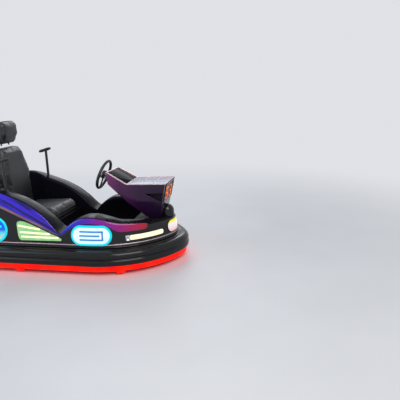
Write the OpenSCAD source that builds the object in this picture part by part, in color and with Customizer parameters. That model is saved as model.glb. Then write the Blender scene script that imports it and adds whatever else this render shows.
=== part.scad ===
// Battery bumper car with a lit body, three wheels and a steered drive unit in the nose.
// The nose points along +X, the left side along +Y. The origin is on the floor, below the middle.

/* [Bumper ring] */
// Length over the rubber ring
car_l = 1950; // [1800:10:2100]
// Width over the rubber ring
car_w = 1160; // [1080:10:1240]
// Height of the ring's underside above the floor
ring_z = 80; // [70:1:95]
// Height of the rubber ring
ring_h = 125; // [110:1:140]
// Depth of the rubber ring, from its face to the steel hoop
ring_t = 95; // [80:1:105]
// Radius of the nose in plan
nose_r = 320; // [260:5:380]
// Radius of the front shoulders in plan
shoulder_r = 750; // [650:10:900]
// Radius of the rear corners in plan
corner_r = 420; // [360:10:480]
// Radius of the tail in plan
tail_r = 800; // [700:10:1000]
// Height of the light strip below the ring
glow_h = 40; // [20:1:48]

/* [Body] */
// Gap between the rubber and the foot of the body's skin
skin_gap = 4; // [2:0.5:12]
// Inward lean of the skin for each unit of height
skin_lean = 0.12; // [0.05:0.01:0.16]
// Height of the front deck
deck_z = 366; // [355:1:368]
// Width of the cockpit between its side walls
cockpit_w = 580; // [520:10:600]
// Distance from the ring's rear end to the cockpit
cockpit_back = 210; // [195:5:240]
// Distance from the ring's front end to the cockpit
cockpit_fore = 439; // [435:1:470]
// Distance from the ring's front end to the joint line of nose shell and side walls
nose_joint = 455; // [445:5:500]
// Place of the dip between front and rear fender
dip_x = 12; // [-20:1:40]
// Height of the tail wall behind the seat
tail_z = 455; // [440:1:462]
// Recess depth of the lamps
lamp_depth = 26; // [15:1:35]
// Gap around each lamp in its recess
lamp_gap = 0.5; // [0.3:0.1:1.5]
// How far the lamp lenses stand out of the skin
lamp_proud = 2; // [0:0.5:4]

/* [Console] */
// Height of the beak's tip
beak_z = 682; // [660:2:720]
// Distance from the ring's front end to the beak's tip
beak_back = 145; // [130:5:180]
// Length of the top plate
plate_l = 342; // [310:2:370]
// Length of the windscreen panel along the car
screen_l = 168; // [150:2:190]
// Rise of the windscreen panel
screen_rise = 93; // [70:1:110]
// Half width of the beak
beak_hw = 175; // [160:1:190]
// Half width of the console at the foot of the windscreen panel
kink_hw = 162; // [150:1:175]
// Half width of the neck's foot
neck_hw = 110; // [90:1:120]
// Distance from the ring's front end to the neck's foot
neck_back = 210; // [195:1:225]
// Length of the neck's foot
neck_l = 104; // [90:1:120]
// Thickness of the top plate and the windscreen panel
plate_t = 6; // [4:0.5:8]

/* [Seat] */
// Height of the seat base
seat_z = 350; // [330:5:370]
// Distance from the ring's rear end to the front of the seat base
seat_front = 845; // [820:5:870]
// Width of the seat
seat_w = 440; // [400:10:480]
// Thickness of the seat cushion
cushion_t = 85; // [70:5:100]
// Height of the back's upper end
back_z = 985; // [950:5:1020]
// Height of the headrest
headrest_h = 200; // [180:5:230]
// Width of the headrest
headrest_w = 240; // [210:5:280]
// Height of the grab handles
handle_z = 898; // [860:2:940]

/* [Running gear] */
// Radius of the wheels
wheel_r = 95; // [92:1:98]
// Radius of the wheel hubs
hub_r = 62; // [55:1:70]
// Width of the rear tyres
rear_tyre_w = 60; // [50:1:64]
// Distance from the ring's rear end to the rear axle
axle_fore = 525; // [495:5:555]
// Radius of the axles
axle_r = 10; // [8:0.5:11]
// Distance from the ring's front end to the drive unit's pivot
pivot_back = 285; // [280:1:295]
// Width of the drive tyre
drive_tyre_w = 50; // [44:1:52]
// Radius of the drive unit's pivot pin
pivot_r = 20; // [16:1:24]
// Radius of the drive motor
motor_r = 42; // [36:1:45]
// Running clearance of pins in their bores
pin_gap = 0.1; // [0.05:0.01:0.1]
// Distance from the ring's rear end to the tie-down hole
tie_back = 135; // [130:1:145]
// Radius of the tie-down hole
tie_r = 9; // [7:0.5:11]

/* [Steering wheel] */
// Outer diameter of the steering wheel
steer_d = 280; // [260:5:300]
// Thickness of the steering wheel's rim
steer_rim = 26; // [22:1:30]
// Distance from the rear top of the windscreen panel back to the steering wheel's middle
steer_back = 88; // [80:1:100]
// Height of the steering wheel's middle
steer_z = 726; // [700:2:750]
// Slope of the steering column above level
steer_slope = 22; // [15:1:30]
// Radius of the steering shaft
steer_shaft_r = 12; // [9:0.5:14]

/* [Hidden] */

half_l = car_l / 2;
half_w = car_w / 2;
ring_top = ring_z + ring_h;
big = 2 * car_l;

// Plan outline: the centres of its four arcs, each tangent to the next
nose_cx = half_l - nose_r;
shoulder_cy = half_w - shoulder_r;
shoulder_cx = nose_cx - sqrt(pow(shoulder_r - nose_r, 2) - pow(shoulder_cy, 2));
tail_cx = tail_r - half_l;
corner_cy = half_w - corner_r;
corner_cx = tail_cx - sqrt(pow(tail_r - corner_r, 2) - pow(corner_cy, 2));
nose_turn = atan2(-shoulder_cy, nose_cx - shoulder_cx);
tail_turn = atan2(corner_cy, corner_cx - tail_cx);

function on_arc(cx, cy, r, a) = [cx + r * cos(a), cy + r * sin(a)];
function arc(cx, cy, r, from, to, steps) = [for (i = [0:steps]) on_arc(cx, cy, r, from + (to - from) * i / steps)];
function drop_last(list) = [for (i = [0:len(list) - 2]) list[i]];
function backwards(list) = [for (i = [len(list) - 1:-1:0]) list[i]];

// Left half of the plan outline, from the nose's tip to the tail's, moved in by d
function half_plan(d) = concat(
  drop_last(arc(nose_cx, 0, nose_r - d, 0, nose_turn, 6)),
  drop_last(arc(shoulder_cx, shoulder_cy, shoulder_r - d, nose_turn, 90, 14)),
  [[shoulder_cx, half_w - d]],
  drop_last(arc(corner_cx, corner_cy, corner_r - d, 90, tail_turn, 9)),
  arc(tail_cx, 0, tail_r - d, tail_turn, 180, 5));
function whole_plan(d) = concat(
  half_plan(d),
  [for (p = backwards(half_plan(d))) if (abs(p.y) > 0.001) [p.x, -p.y]]);

// Half width of the plan at x, moved in by d
function half_width(x, d) =
  x > nose_cx + (nose_r - d) * cos(nose_turn) ? sqrt(max(0, pow(nose_r - d, 2) - pow(x - nose_cx, 2)))
  : x > shoulder_cx ? shoulder_cy + sqrt(pow(shoulder_r - d, 2) - pow(x - shoulder_cx, 2))
  : x > corner_cx ? half_w - d
  : x > tail_cx + (tail_r - d) * cos(tail_turn) ? corner_cy + sqrt(pow(corner_r - d, 2) - pow(corner_cx - x, 2))
  : sqrt(max(0, pow(tail_r - d, 2) - pow(x - tail_cx, 2)));

seam = 15;
body_z = ring_top - seam;
skin_inset = ring_t + skin_gap;
function skin_at(z) = skin_inset + skin_lean * (z - body_z);

cockpit_hw = cockpit_w / 2;
cockpit_x0 = -half_l + cockpit_back;
cockpit_x1 = half_l - cockpit_fore;
nose_split_x = half_l - nose_joint;

// Solid between closed rings of points, one after another, each counter-clockwise seen from the last one.
// Its four-cornered sides are split along one diagonal or along the other
module rings(list, closed = false, other_split = false) {
  n = len(list[0]);
  m = len(list);
  points = [for (ring = list) each ring];
  sides = [for (j = [0:m - (closed ? 1 : 2)]) for (i = [0:n - 1])
    let (a = j * n + i, b = j * n + (i + 1) % n, c = ((j + 1) % m) * n + (i + 1) % n, d = ((j + 1) % m) * n + i)
    each other_split ? [[a, d, b], [b, d, c]] : [[a, c, b], [a, d, c]]];
  caps = closed ? [] : [[for (i = [0:n - 1]) i], [for (i = [n - 1:-1:0]) (m - 1) * n + i]];
  polyhedron(points = points, faces = concat(sides, caps), convexity = 8);
}

// Hoop of one section, given as [inset, z] pairs, swept along the plan outline
module sweep_plan(section) {
  rings([for (s = section) [for (p = whole_plan(s[0])) [p.x, p.y, s[1]]]], closed = true);
}

// Prism over the plan outline moved in by d
module plan_prism(d, z0, z1) {
  translate([0, 0, z0]) linear_extrude(height = z1 - z0) polygon(whole_plan(d));
}

// Solid inside the body's leaning skin, moved in by d
skin_high = beak_z + 100;
module skin_solid(d = 0) {
  rings([for (z = [ring_z, skin_high]) [for (p = whole_plan(skin_at(z) + d)) [p.x, p.y, z]]]);
}

// Plate in the upright plane along the car, from outline points [x, z], as wide as width
module upright(outline, width, y = 0) {
  translate([0, y + width / 2, 0]) rotate([90, 0, 0]) linear_extrude(height = width) polygon(outline);
}

// Front fender. Columns: share of its length from the dip, joint line of wall and fender, top of the fender
wave_end = 275;
wave_l = half_l - wave_end - dip_x;
dip = [305, 316];
front_wave = [
  [0, dip[0], dip[1]], [0.05, 330, 360], [0.11, 358, 397], [0.18, 383, 429], [0.25, 398, 448], [0.32, 405, 455],
  [0.40, 405, 455], [0.49, 400, 444], [0.59, 386, 426], [0.68, 372, 409], [0.78, deck_z, 399],
  [0.86, deck_z, 393], [0.93, deck_z, 387], [0.97, deck_z, 381], [1, deck_z, deck_z + 3]
];
// Rear fin. Columns: place (0 to 1 from the dip to the rear corner, to 2 along the corner, to 3 along the tail),
// joint line of wall and fin, top of the fin, share of the way from the cockpit's side wall to its rear wall
rear_fin = [
  [0, dip[0], dip[1], 0], [0.07, 313, 342, 0], [0.14, 325, 383, 0], [0.21, 341, 424, 0], [0.29, 359, 463, 0],
  [0.37, 378, 497, 0], [0.46, 398, 529, 0], [0.63, 437, 576, 0], [0.80, 477, 611, 0], [1, 519, 646, 0],
  [1.17, 538, 665, 0.06], [1.34, 550, 679, 0.18], [1.5, 556, 688, 0.33], [1.65, 556, 692, 0.46],
  [1.8, 547, 693, 0.6], [1.9, 536, 690, 0.7], [2, 518, 676, 0.8], [2.12, 502, 648, 0.92], [2.3, 482, 585, 1],
  [2.47, 469, 520, 1], [2.58, 463, 479, 1]
];
// What follows the fin to the middle of the tail, with the same columns
tail_rows = [[2.8, tail_z + 1, 0, 1], [3, tail_z, 0, 1]];

function wave_x(row) = dip_x + row[0] * wave_l;
function fin_x(row) = dip_x + row[0] * (corner_cx - dip_x);
// Point of the plan outline at a place of the rear fin's table, moved in by d
function fin_point(place, d) =
  place <= 1 ? [fin_x([place]), half_w - d]
  : place <= 2 ? on_arc(corner_cx, corner_cy, corner_r - d, 90 + (place - 1) * (tail_turn - 90))
  : on_arc(tail_cx, 0, tail_r - d, tail_turn + (place - 2) * (180 - tail_turn));

// Everything below the joint line of walls and fenders, as far back as the rear corner
module below_joint_line() {
  outline = concat(
    [[half_l, 0], [half_l, deck_z]],
    [for (row = backwards(front_wave)) [wave_x(row), row[1]]],
    [for (row = rear_fin) if (row[0] > 0 && row[0] <= 1) [fin_x(row), row[1]]],
    [[corner_cx, 0]]);
  upright(outline, car_w);
}

module cockpit_space() {
  translate([cockpit_x0, -cockpit_hw, 0]) cube([cockpit_x1 - cockpit_x0, cockpit_w, skin_high]);
}

// Lamps on the sides. Columns: place along the car, height of the middle, length, height
oval = [dip_x + 262, 312, 340, 166];
round_lamp = [-half_l + 413, 338, 212, 212];
triangle = [for (p = [[-8, 264], [-36, 250], [-362, 248], [-376, 256], [-384, 408], [-372, 418], [-334, 412],
  [-240, 374], [-120, 318]]) [dip_x + p[0], p[1]]];
corner_end = tail_cx + (tail_r - skin_inset) * cos(tail_turn);
upper_lamp = [for (p = [[171, 488], [86, 496], [74, 504], [82, 534], [154, 528]]) [corner_end + p[0], p[1]]];
// Lamps on the nose. Columns: place along the car, height of the middle, length, height
corner_lamp = [half_l - 289, 282, 304, 50];
centre_lamp = [half_l - skin_inset, 303, 250, 98];
// Lamps on the tail. Columns: place across, height of the middle, length, height
tail_lamp = [190, 330, 150, 62];
lamp_reach = 140;
side_reach = 320;

module pill(l, h) {
  end_r = min(l, h) / 2;
  union() {
    square([l - 2 * end_r, 2 * end_r], center = true);
    for (s = [-1, 1]) translate([s * (l / 2 - end_r), 0]) circle(r = end_r, $fn = 48);
  }
}

// The lamp outlines as prisms that pass through the skin, wider by gap; side is 1 left, -1 right
module side_prism(side, place) {
  translate([place[0], side * (half_w - side_reach / 2), place[1]]) rotate([90, 0, 0])
    linear_extrude(height = side_reach, center = true) children();
}
module oval_prism(side, gap) { side_prism(side, oval) pill(oval[2] + 2 * gap, oval[3] + 2 * gap); }
module round_prism(side, gap) { side_prism(side, round_lamp) circle(r = round_lamp[2] / 2 + gap, $fn = 72); }
module outline_prism(points, side, gap) { side_prism(side, [0, 0]) offset(delta = gap) polygon(points); }
module corner_prism(side, gap) {
  turn = asin((corner_lamp[0] - shoulder_cx) / (shoulder_r - skin_inset));
  y = half_width(corner_lamp[0], skin_inset);
  translate([corner_lamp[0], side * y, corner_lamp[1]]) rotate([90, 0, side * -turn])
    linear_extrude(height = lamp_reach, center = true) pill(corner_lamp[2] + 2 * gap, corner_lamp[3] + 2 * gap);
}
module centre_prism(gap) {
  translate([centre_lamp[0], 0, centre_lamp[1]]) rotate([90, 0, 90])
    linear_extrude(height = 2 * lamp_reach, center = true) pill(centre_lamp[2] + 2 * gap, centre_lamp[3] + 2 * gap);
}
module tail_prism(side, gap) {
  translate([-half_l, side * tail_lamp[0], tail_lamp[1]]) rotate([90, 0, 90])
    linear_extrude(height = cockpit_back) pill(tail_lamp[2] + 2 * gap, tail_lamp[3] + 2 * gap);
}

// What a lamp's prism cuts out of the wall, and what fills it, from depth to proud of the skin
module recess() {
  difference() {
    children();
    skin_solid(lamp_depth);
  }
}
module lens(depth = lamp_depth, proud = lamp_proud) {
  intersection() {
    difference() {
      skin_solid(-proud);
      skin_solid(depth);
    }
    children();
  }
}
// Lens of a side lamp, kept below the fender, with light bars that stand out of it
bar_proud = 5;
module barred_lens(bars) {
  union() {
    intersection() {
      lens() children();
      translate([0, 0, -lamp_gap]) below_joint_line();
    }
    lens(0, bar_proud) for (b = bars) translate([b[0], 0, b[1]]) rotate([90, 0, 0])
      linear_extrude(height = car_w, center = true) pill(b[2], b[3]);
  }
}

// Steel frame: hoop behind the rubber, two rails, cross members and the drive unit's bridge
hoop_gap = 0.3;
hoop_inset = ring_t + hoop_gap;
hoop_t = 8;
hoop_lift = 12;
flange_w = 42;
flange_t = 6;
rail_s = 40;
rail_z = 110;
rail_top = rail_z + rail_s;
seat_gap = 5;
seat_hw = cockpit_hw - seat_gap;
seat_wall = 6;
tyre_gap = 14;
rear_track = 2 * (seat_hw - seat_wall - tyre_gap) - rear_tyre_w;
rail_gap = 15;
rail_y = (rear_track - rear_tyre_w - rail_s) / 2 - rail_gap;
rear_axle_x = -half_l + axle_fore;
pivot_x = half_l - pivot_back;
bridge_z = 250;
bridge_t = 8;
bridge_rear = 100;
bridge_leg = 65;
bridge_nose = [75, 85];
bridge_x0 = pivot_x - bridge_rear;
// Plan of the bridge, wider by gap all round
function bridge_plan(gap) =
  let (
    y = rail_y + rail_s / 2 + gap,
    x0 = bridge_x0 - gap,
    x1 = bridge_x0 + bridge_leg + gap,
    x2 = pivot_x + bridge_nose[0] + gap,
    y2 = bridge_nose[1] + gap)
  [[x0, -y], [x1, -y], [x2, -y2], [x2, y2], [x1, y], [x0, y]];
cross_x = [-half_l + 255, -half_l + 685, half_l - 895, half_l - 475];
bearing_w = 36;
bearing_drop = 20;
tongue_l = 60;
tongue_t = 10;
tongue_z = 120;
module chassis_frame() {
  hoop_z = ring_z + hoop_lift;
  color("dimgray") difference() {
    union() {
      difference() {
        plan_prism(hoop_inset, hoop_z, body_z);
        plan_prism(hoop_inset + hoop_t, hoop_z - 1, body_z + 1);
      }
      difference() {
        plan_prism(hoop_inset, body_z - flange_t, body_z);
        plan_prism(hoop_inset + flange_w, body_z - flange_t - 1, body_z + 1);
      }
      intersection() {
        plan_prism(hoop_inset + hoop_t / 2, rail_z, rail_top);
        union() {
          for (s = [-1, 1]) translate([-half_l, s * rail_y - rail_s / 2, rail_z]) cube([car_l, rail_s, rail_s]);
          for (x = cross_x) translate([x - rail_s / 2, -half_w, rail_z]) cube([rail_s, car_w, rail_s]);
        }
      }
      translate([0, 0, bridge_z]) linear_extrude(height = bridge_t) polygon(bridge_plan(0));
      for (s = [-1, 1]) translate([bridge_x0, s * (rail_y + rail_s / 2 - bridge_t / 2) - bridge_t / 2, rail_z])
        cube([bridge_leg, bridge_t, bridge_z - rail_z + 1]);
      for (s = [-1, 1]) translate([rear_axle_x - bearing_w / 2, s * rail_y - rail_s / 2, wheel_r - bearing_drop])
        cube([bearing_w, rail_s, rail_z - wheel_r + bearing_drop + 1]);
      translate([-half_l + hoop_inset + hoop_t / 2, -rail_s, tongue_z]) cube([tongue_l, 2 * rail_s, tongue_t]);
    }
    translate([pivot_x, 0, bridge_z - 1]) cylinder(h = bridge_t + 2, r = pivot_r + pin_gap, $fn = 64);
    translate([rear_axle_x, 0, wheel_r]) rotate([90, 0, 0]) cylinder(h = car_w, r = axle_r, center = true, $fn = 48);
    translate([-half_l + tie_back, 0, tongue_z - 1]) cylinder(h = tongue_t + 2, r = tie_r, $fn = 48);
  }
}

// Floor: a tray between the walls, with ribs across it
pan_t = 4;
pan_gap = 0.3;
pan_side = 70;
rib = [26, 3];
rib_step = 75;
seat_x = -half_l + seat_front;
module floor_pan() {
  w = cockpit_w - 2 * pan_gap;
  l = cockpit_x1 - seat_x - 2 * pan_gap;
  color("black") translate([seat_x + pan_gap, 0, rail_top]) difference() {
    translate([0, -w / 2, 0]) cube([l, w, pan_side]);
    difference() {
      translate([-1, -w / 2 + pan_t, pan_t]) cube([l + 2, w - 2 * pan_t, pan_side]);
      for (x = [rib_step:rib_step:l - rib_step]) translate([x - rib.x / 2, -w / 2, 0])
        cube([rib.x, w, pan_t + rib.y]);
    }
  }
}

battery = [340, 340, 170];
battery_x = seat_x - 480;
module battery_block() {
  color("darkslategray") translate([battery_x, -battery.y / 2, rail_top]) cube(battery);
}

collar = [7, 8];
hub_gap = 4;
axle_end = rear_track / 2 + rear_tyre_w / 2 + hub_gap;
module rear_axle() {
  color("silver") translate([rear_axle_x, 0, wheel_r]) rotate([90, 0, 0]) union() {
    cylinder(h = 2 * axle_end, r = axle_r, center = true, $fn = 48);
    for (s = [-1, 1]) translate([0, 0, s * (axle_end + collar.y / 2)])
      cylinder(h = collar.y, r = axle_r + collar.x, center = true, $fn = 48);
  }
}

// Section of the rubber ring. Columns: inset, share of its height
ring_section = [
  [ring_t, 0], [28, 0], [13, 0.04], [4, 0.12], [0.6, 0.22], [0, 0.34], [2, 0.42], [9, 0.46], [9, 0.51],
  [2, 0.55], [0.6, 0.63], [3, 0.74], [10, 0.85], [22, 0.94], [40, 0.99], [58, 1], [ring_t, 1]
];
module bumper_ring() {
  color([0.05, 0.05, 0.06]) sweep_plan([for (s = ring_section) [s[0], ring_z + s[1] * ring_h]]);
}

glow_inset = 30;
glow_w = 26;
module glow_strip() {
  color([0.9, 0.1, 0.1]) difference() {
    plan_prism(glow_inset, ring_z - glow_h, ring_z);
    plan_prism(glow_inset + glow_w, ring_z - glow_h - 1, ring_z + 1);
  }
}

// Body of glass fibre: the walls stand on the frame's flange
deck_t = 26;
nose_wall = 4;
drive_space_r = pivot_back - skin_at(deck_z) - lamp_depth - nose_wall;
bulkhead_t = 5;
bulkhead_in = 20;
module nose_shell() {
  color([0.04, 0.04, 0.05]) union() {
    difference() {
      intersection() {
        skin_solid();
        below_joint_line();
        translate([nose_split_x, -half_w, body_z]) cube([half_l, car_w, skin_high]);
      }
      cockpit_space();
      translate([pivot_x, 0, body_z - 1]) cylinder(h = deck_z - body_z - deck_t, r = drive_space_r, $fn = 72);
      translate([0, 0, body_z - 1]) linear_extrude(height = bridge_z + 2 * bridge_t - body_z)
        polygon(bridge_plan(bridge_t));
      for (s = [-1, 1]) recess() corner_prism(s, lamp_gap);
      recess() centre_prism(lamp_gap);
    }
    translate([cockpit_x1, -cockpit_hw + bulkhead_in, rail_top])
      cube([bulkhead_t, cockpit_w - 2 * bulkhead_in, body_z - rail_top + 1]);
  }
}

module side_wall(side) {
  y = side > 0 ? cockpit_hw : -half_w;
  color([0.05, 0.05, 0.06]) difference() {
    intersection() {
      skin_solid();
      below_joint_line();
      translate([corner_cx, y, body_z]) cube([nose_split_x - corner_cx, half_w - cockpit_hw, skin_high]);
    }
    recess() oval_prism(side, lamp_gap);
    recess() outline_prism(triangle, side, lamp_gap);
    recess() round_prism(side, lamp_gap);
  }
}
module side_wall_left() { side_wall(1); }
module side_wall_right() { side_wall(-1); }

// Inset of the wall's inner face at a row of the fin's table
rear_gap = 32;
function inner_inset(row) = (half_w - cockpit_hw) * (1 - row[3]) + (cockpit_back - rear_gap) * row[3];
function wall_section(row, side) =
  [for (s = [[inner_inset(row), body_z], [skin_at(body_z), body_z], [skin_at(row[1]), row[1]],
      [inner_inset(row), row[1]]])
    let (p = fin_point(row[0], s[0])) [p.x, side * p.y, s[1]]];
module tail_shell() {
  rows = [for (row = concat(rear_fin, tail_rows)) if (row[0] >= 1) row];
  color([0.05, 0.05, 0.06]) difference() {
    rings(concat(
      [for (row = rows) wall_section(row, -1)],
      [for (row = backwards(drop_last(rows))) wall_section(row, 1)]), other_split = true);
    for (s = [-1, 1]) {
      recess() round_prism(s, lamp_gap);
      recess() outline_prism(upper_lamp, s, lamp_gap);
      recess() tail_prism(s, lamp_gap);
    }
  }
}

// Section of a fender, as [inset, z] pairs from the joint line over a rounded back
fender_round = 26;
function rounded_back(outer_low, outer_top, inner, low, top) =
  let (r = min(fender_round, (top - low) * 0.45))
  concat(
    [[inner, low], [outer_low, low]],
    [for (i = [0:4]) let (a = i * 22.5) [outer_top + r - r * cos(a), top - r + r * sin(a)]],
    [for (i = [0:3]) let (a = 90 + i * 30) [inner - r - r * cos(a), top - r + r * sin(a)]]);
fender_t = 140;
neck_gap = 14;
function wave_section(row, side) =
  let (
    x = wave_x(row),
    y_low = half_width(x, skin_at(row[1])),
    y_top = half_width(x, skin_at(row[2])),
    y_in = max(min(cockpit_hw, y_low - fender_t), neck_hw + neck_gap))
  [for (s = rounded_back(-y_low, -y_top, -y_in, row[1], row[2])) [x, side * -s[0], s[1]]];
function fin_section(row, side) =
  [for (s = rounded_back(skin_at(row[1]), skin_at(row[2]), inner_inset(row), row[1], row[2]))
    let (p = fin_point(row[0], s[0])) [p.x, side * p.y, s[1]]];
module front_fender(side) {
  list = [for (row = side > 0 ? front_wave : backwards(front_wave)) wave_section(row, side)];
  color([0.12, 0.1, 0.55]) rings(list);
}
module rear_fender(side) {
  list = [for (row = side < 0 ? rear_fin : backwards(rear_fin)) fin_section(row, side)];
  color([0.12, 0.1, 0.55]) rings(list);
}
module front_fender_left() { front_fender(1); }
module front_fender_right() { front_fender(-1); }
module rear_fender_left() { rear_fender(1); }
module rear_fender_right() { rear_fender(-1); }

// Light bars. Columns: place along the car, height, length, thickness
oval_bars = [for (i = [-1:1]) [oval[0] - 6, oval[1] + i * 32, 190, 14]];
triangle_bars = [for (b = [[-282, 382, 128, 13], [-248, 326, 210, 13], [-208, 276, 300, 13]]) [dip_x + b[0], b[1], b[2], b[3]]];
module lamp_front_centre() { color("white") lens() centre_prism(0); }
module lamp_corner_left() { color("lightyellow") lens() corner_prism(1, 0); }
module lamp_corner_right() { color("lightyellow") lens() corner_prism(-1, 0); }
module side_half(side) {
  intersection() {
    translate([-half_l, side > 0 ? 0 : -half_w, 0]) cube([car_l, half_w, skin_high]);
    children();
  }
}
module lamp_oval_left() { color("cyan") side_half(1) barred_lens(oval_bars) oval_prism(1, 0); }
module lamp_oval_right() { color("cyan") side_half(-1) barred_lens(oval_bars) oval_prism(-1, 0); }
module lamp_triangle_left() { color("palegreen") side_half(1) barred_lens(triangle_bars) outline_prism(triangle, 1, 0); }
module lamp_triangle_right() { color("palegreen") side_half(-1) barred_lens(triangle_bars) outline_prism(triangle, -1, 0); }
module lamp_round_left() { color("deepskyblue") lens() round_prism(1, 0); }
module lamp_round_right() { color("deepskyblue") lens() round_prism(-1, 0); }
module lamps_rear_upper() { color("white") for (s = [-1, 1]) lens() outline_prism(upper_lamp, s, 0); }
module lamps_tail() { color("red") for (s = [-1, 1]) lens() tail_prism(s, 0); }

// Console: one side outline, narrowed in plan and from the front
beak_x = half_l - beak_back;
neck_x = half_l - neck_back;
kink_x = beak_x - plate_l;
kink_z = beak_z - 10;
screen_x = kink_x - screen_l;
screen_z = kink_z + screen_rise;
screen_edge = 14;
heel = [screen_x - 2, kink_z - 4];
heel_hw = kink_hw - 17;
full_z = beak_z - 122;
neck_run = beak_x - neck_x;
neck_rise = beak_z - deck_z;
function front_x(z) = neck_x + (z - deck_z) * neck_run / neck_rise;
function console_outline(t) = [
  [front_x(beak_z - t), beak_z - t], [neck_x, deck_z], [neck_x - neck_l, deck_z], heel,
  [screen_x - screen_edge, screen_z - t], [screen_x, screen_z - t], [kink_x, kink_z - t]
];
module console_taper() {
  intersection() {
    linear_extrude(height = big) polygon([
      [beak_x + 1, -beak_hw], [beak_x + 1, beak_hw], [kink_x, kink_hw], [heel[0] - screen_edge, heel_hw],
      [heel[0] - screen_edge, -heel_hw], [kink_x, -kink_hw]]);
    rotate([90, 0, 90]) linear_extrude(height = big) polygon([
      [-neck_hw, deck_z - 1], [neck_hw, deck_z - 1], [beak_hw, full_z], [beak_hw, kink_z],
      [heel_hw, screen_z + 1], [-heel_hw, screen_z + 1], [-beak_hw, kink_z], [-beak_hw, full_z]]);
  }
}
// The display in the slanted front of the beak
display = [264, 140, 8];
display_gap = 0.5;
display_drop = 86;
module display_place() {
  translate([front_x(beak_z - display_drop), 0, beak_z - display_drop])
    rotate([90, 0, 90]) rotate([-atan2(neck_run, neck_rise), 0, 0]) children();
}
// Triangular hollow below the beak, on both sides
notch = [[-30, -77], [-183, -87], [-46, -155]];
notch_floor = 138;
module notch_cut() {
  for (s = [-1, 1]) upright([for (p = notch) [beak_x + p[0], beak_z + p[1]]], beak_hw, s * (notch_floor + beak_hw / 2));
}
steer_x = screen_x - steer_back;
module steer_place() {
  translate([steer_x, 0, steer_z]) rotate([0, -90 + steer_slope, 0]) children();
}
shaft_l = 170;
module console_shell() {
  color([0.2, 0.1, 0.35]) difference() {
    intersection() {
      upright(console_outline(plate_t), 2 * beak_hw + 2);
      console_taper();
    }
    display_place() cube([display.x + 2 * display_gap, display.y + 2 * display_gap, 2 * display.z], center = true);
    notch_cut();
    steer_place() translate([0, 0, -shaft_l - 1]) cylinder(h = shaft_l, r = steer_shaft_r + pin_gap, $fn = 48);
  }
}
module console_top_plate() {
  color("lightsteelblue") intersection() {
    upright([[beak_x, beak_z], [kink_x, kink_z], [kink_x, kink_z - plate_t],
      [front_x(beak_z - plate_t), beak_z - plate_t]], 2 * beak_hw + 2);
    console_taper();
  }
}
module windscreen_panel() {
  color([0.08, 0.08, 0.1]) intersection() {
    upright([[kink_x, kink_z], [screen_x, screen_z], [screen_x - screen_edge, screen_z],
      [screen_x - screen_edge, screen_z - plate_t], [screen_x, screen_z - plate_t], [kink_x, kink_z - plate_t]],
      2 * beak_hw + 2);
    console_taper();
  }
}
module score_display() {
  color("red") display_place() translate([0, 0, display_gap - display.z / 2])
    cube([display.x, display.y, display.z - 2 * display_gap], center = true);
}

// Dome on the nose, in front of the neck
dome_r = 62;
dome_foot = 45;
dome_x = beak_x - 38;
module nose_dome() {
  color("black") difference() {
    translate([dome_x, 0, deck_z]) rotate_extrude($fn = 64) polygon(concat(
      [[0, 0], [dome_r, 0]], [for (i = [0:12]) let (a = i * 7.5) [dome_r * cos(a), dome_foot + dome_r * sin(a)]]));
    upright([for (p = [[-neck_l, -1], [0, -1], [neck_run, neck_rise], [-neck_l, neck_rise]])
      [neck_x + lay + p[0], deck_z + p[1]]], 2 * beak_hw);
  }
}

// Seat base: a box that follows the walls round the cockpit's rear, open below
function seat_plan(d) =
  let (side = [for (row = concat(rear_fin, tail_rows)) if (row[0] >= 1 && row[0] < 3)
    fin_point(row[0], inner_inset(row) + seat_gap + d)])
  concat([[seat_x - d, d - seat_hw], [seat_x - d, seat_hw - d]], side, [for (p = backwards(side)) [p.x, -p.y]]);
module seat_base() {
  color("black") difference() {
    translate([0, 0, rail_top]) linear_extrude(height = seat_z - rail_top) polygon(seat_plan(0));
    translate([0, 0, rail_top - 1]) linear_extrude(height = seat_z - rail_top - seat_wall + 1) polygon(seat_plan(seat_wall));
  }
}

// Padding of the seat. Each pad is drawn round balls. Columns: place ahead of the back's rear face,
// height above the pad's foot, radius, distance from the pad's side to the ball's middle
back_rear = -half_l + 226;
lay = 0.3;
module pad(balls, z, w) {
  hull() for (b = balls) for (s = [-1, 1])
    translate([back_rear + b[0], s * (w / 2 - b[3]), z + b[1]]) sphere(r = b[2], $fn = 24);
}
seat_l = seat_x - back_rear;
back_h = back_z - seat_z;
cushion_balls = [
  [211, 0, 28, 28], [seat_l - 42, 0, 28, 28], [207, cushion_t - 28, 28, 34], [seat_l - 70, cushion_t - 12, 28, 34],
  [seat_l - 45, cushion_t - 30, 28, 34]
];
back_balls = [
  [144, 30, 30, 30], [30, 30, 30, 30], [128, 400, 30, 34], [26, 400, 26, 34], [98, back_h - 60, 28, 84],
  [88, back_h - 24, 24, 92], [34, back_h - 24, 24, 92]
];
head_balls = [
  [97, headrest_h - 42, 42, 46], [68, headrest_h - 36, 36, 40], [102, headrest_h - 104, 38, 42],
  [76, 22, 22, 30], [45, 22, 22, 30], [40, headrest_h - 80, 24, 30]
];
module above(z) {
  intersection() {
    children();
    translate([-car_l, -car_w, z]) cube([2 * car_l, 2 * car_w, car_l]);
  }
}
module seat_cushion() { color([0.06, 0.06, 0.06]) above(seat_z + lay) pad(cushion_balls, seat_z, seat_w); }
module seat_back() { color([0.06, 0.06, 0.06]) above(seat_z + lay) pad(back_balls, seat_z, seat_w); }
head_gap = 14;
module headrest() { color([0.06, 0.06, 0.06]) pad(head_balls, back_z + head_gap, headrest_w); }

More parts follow.
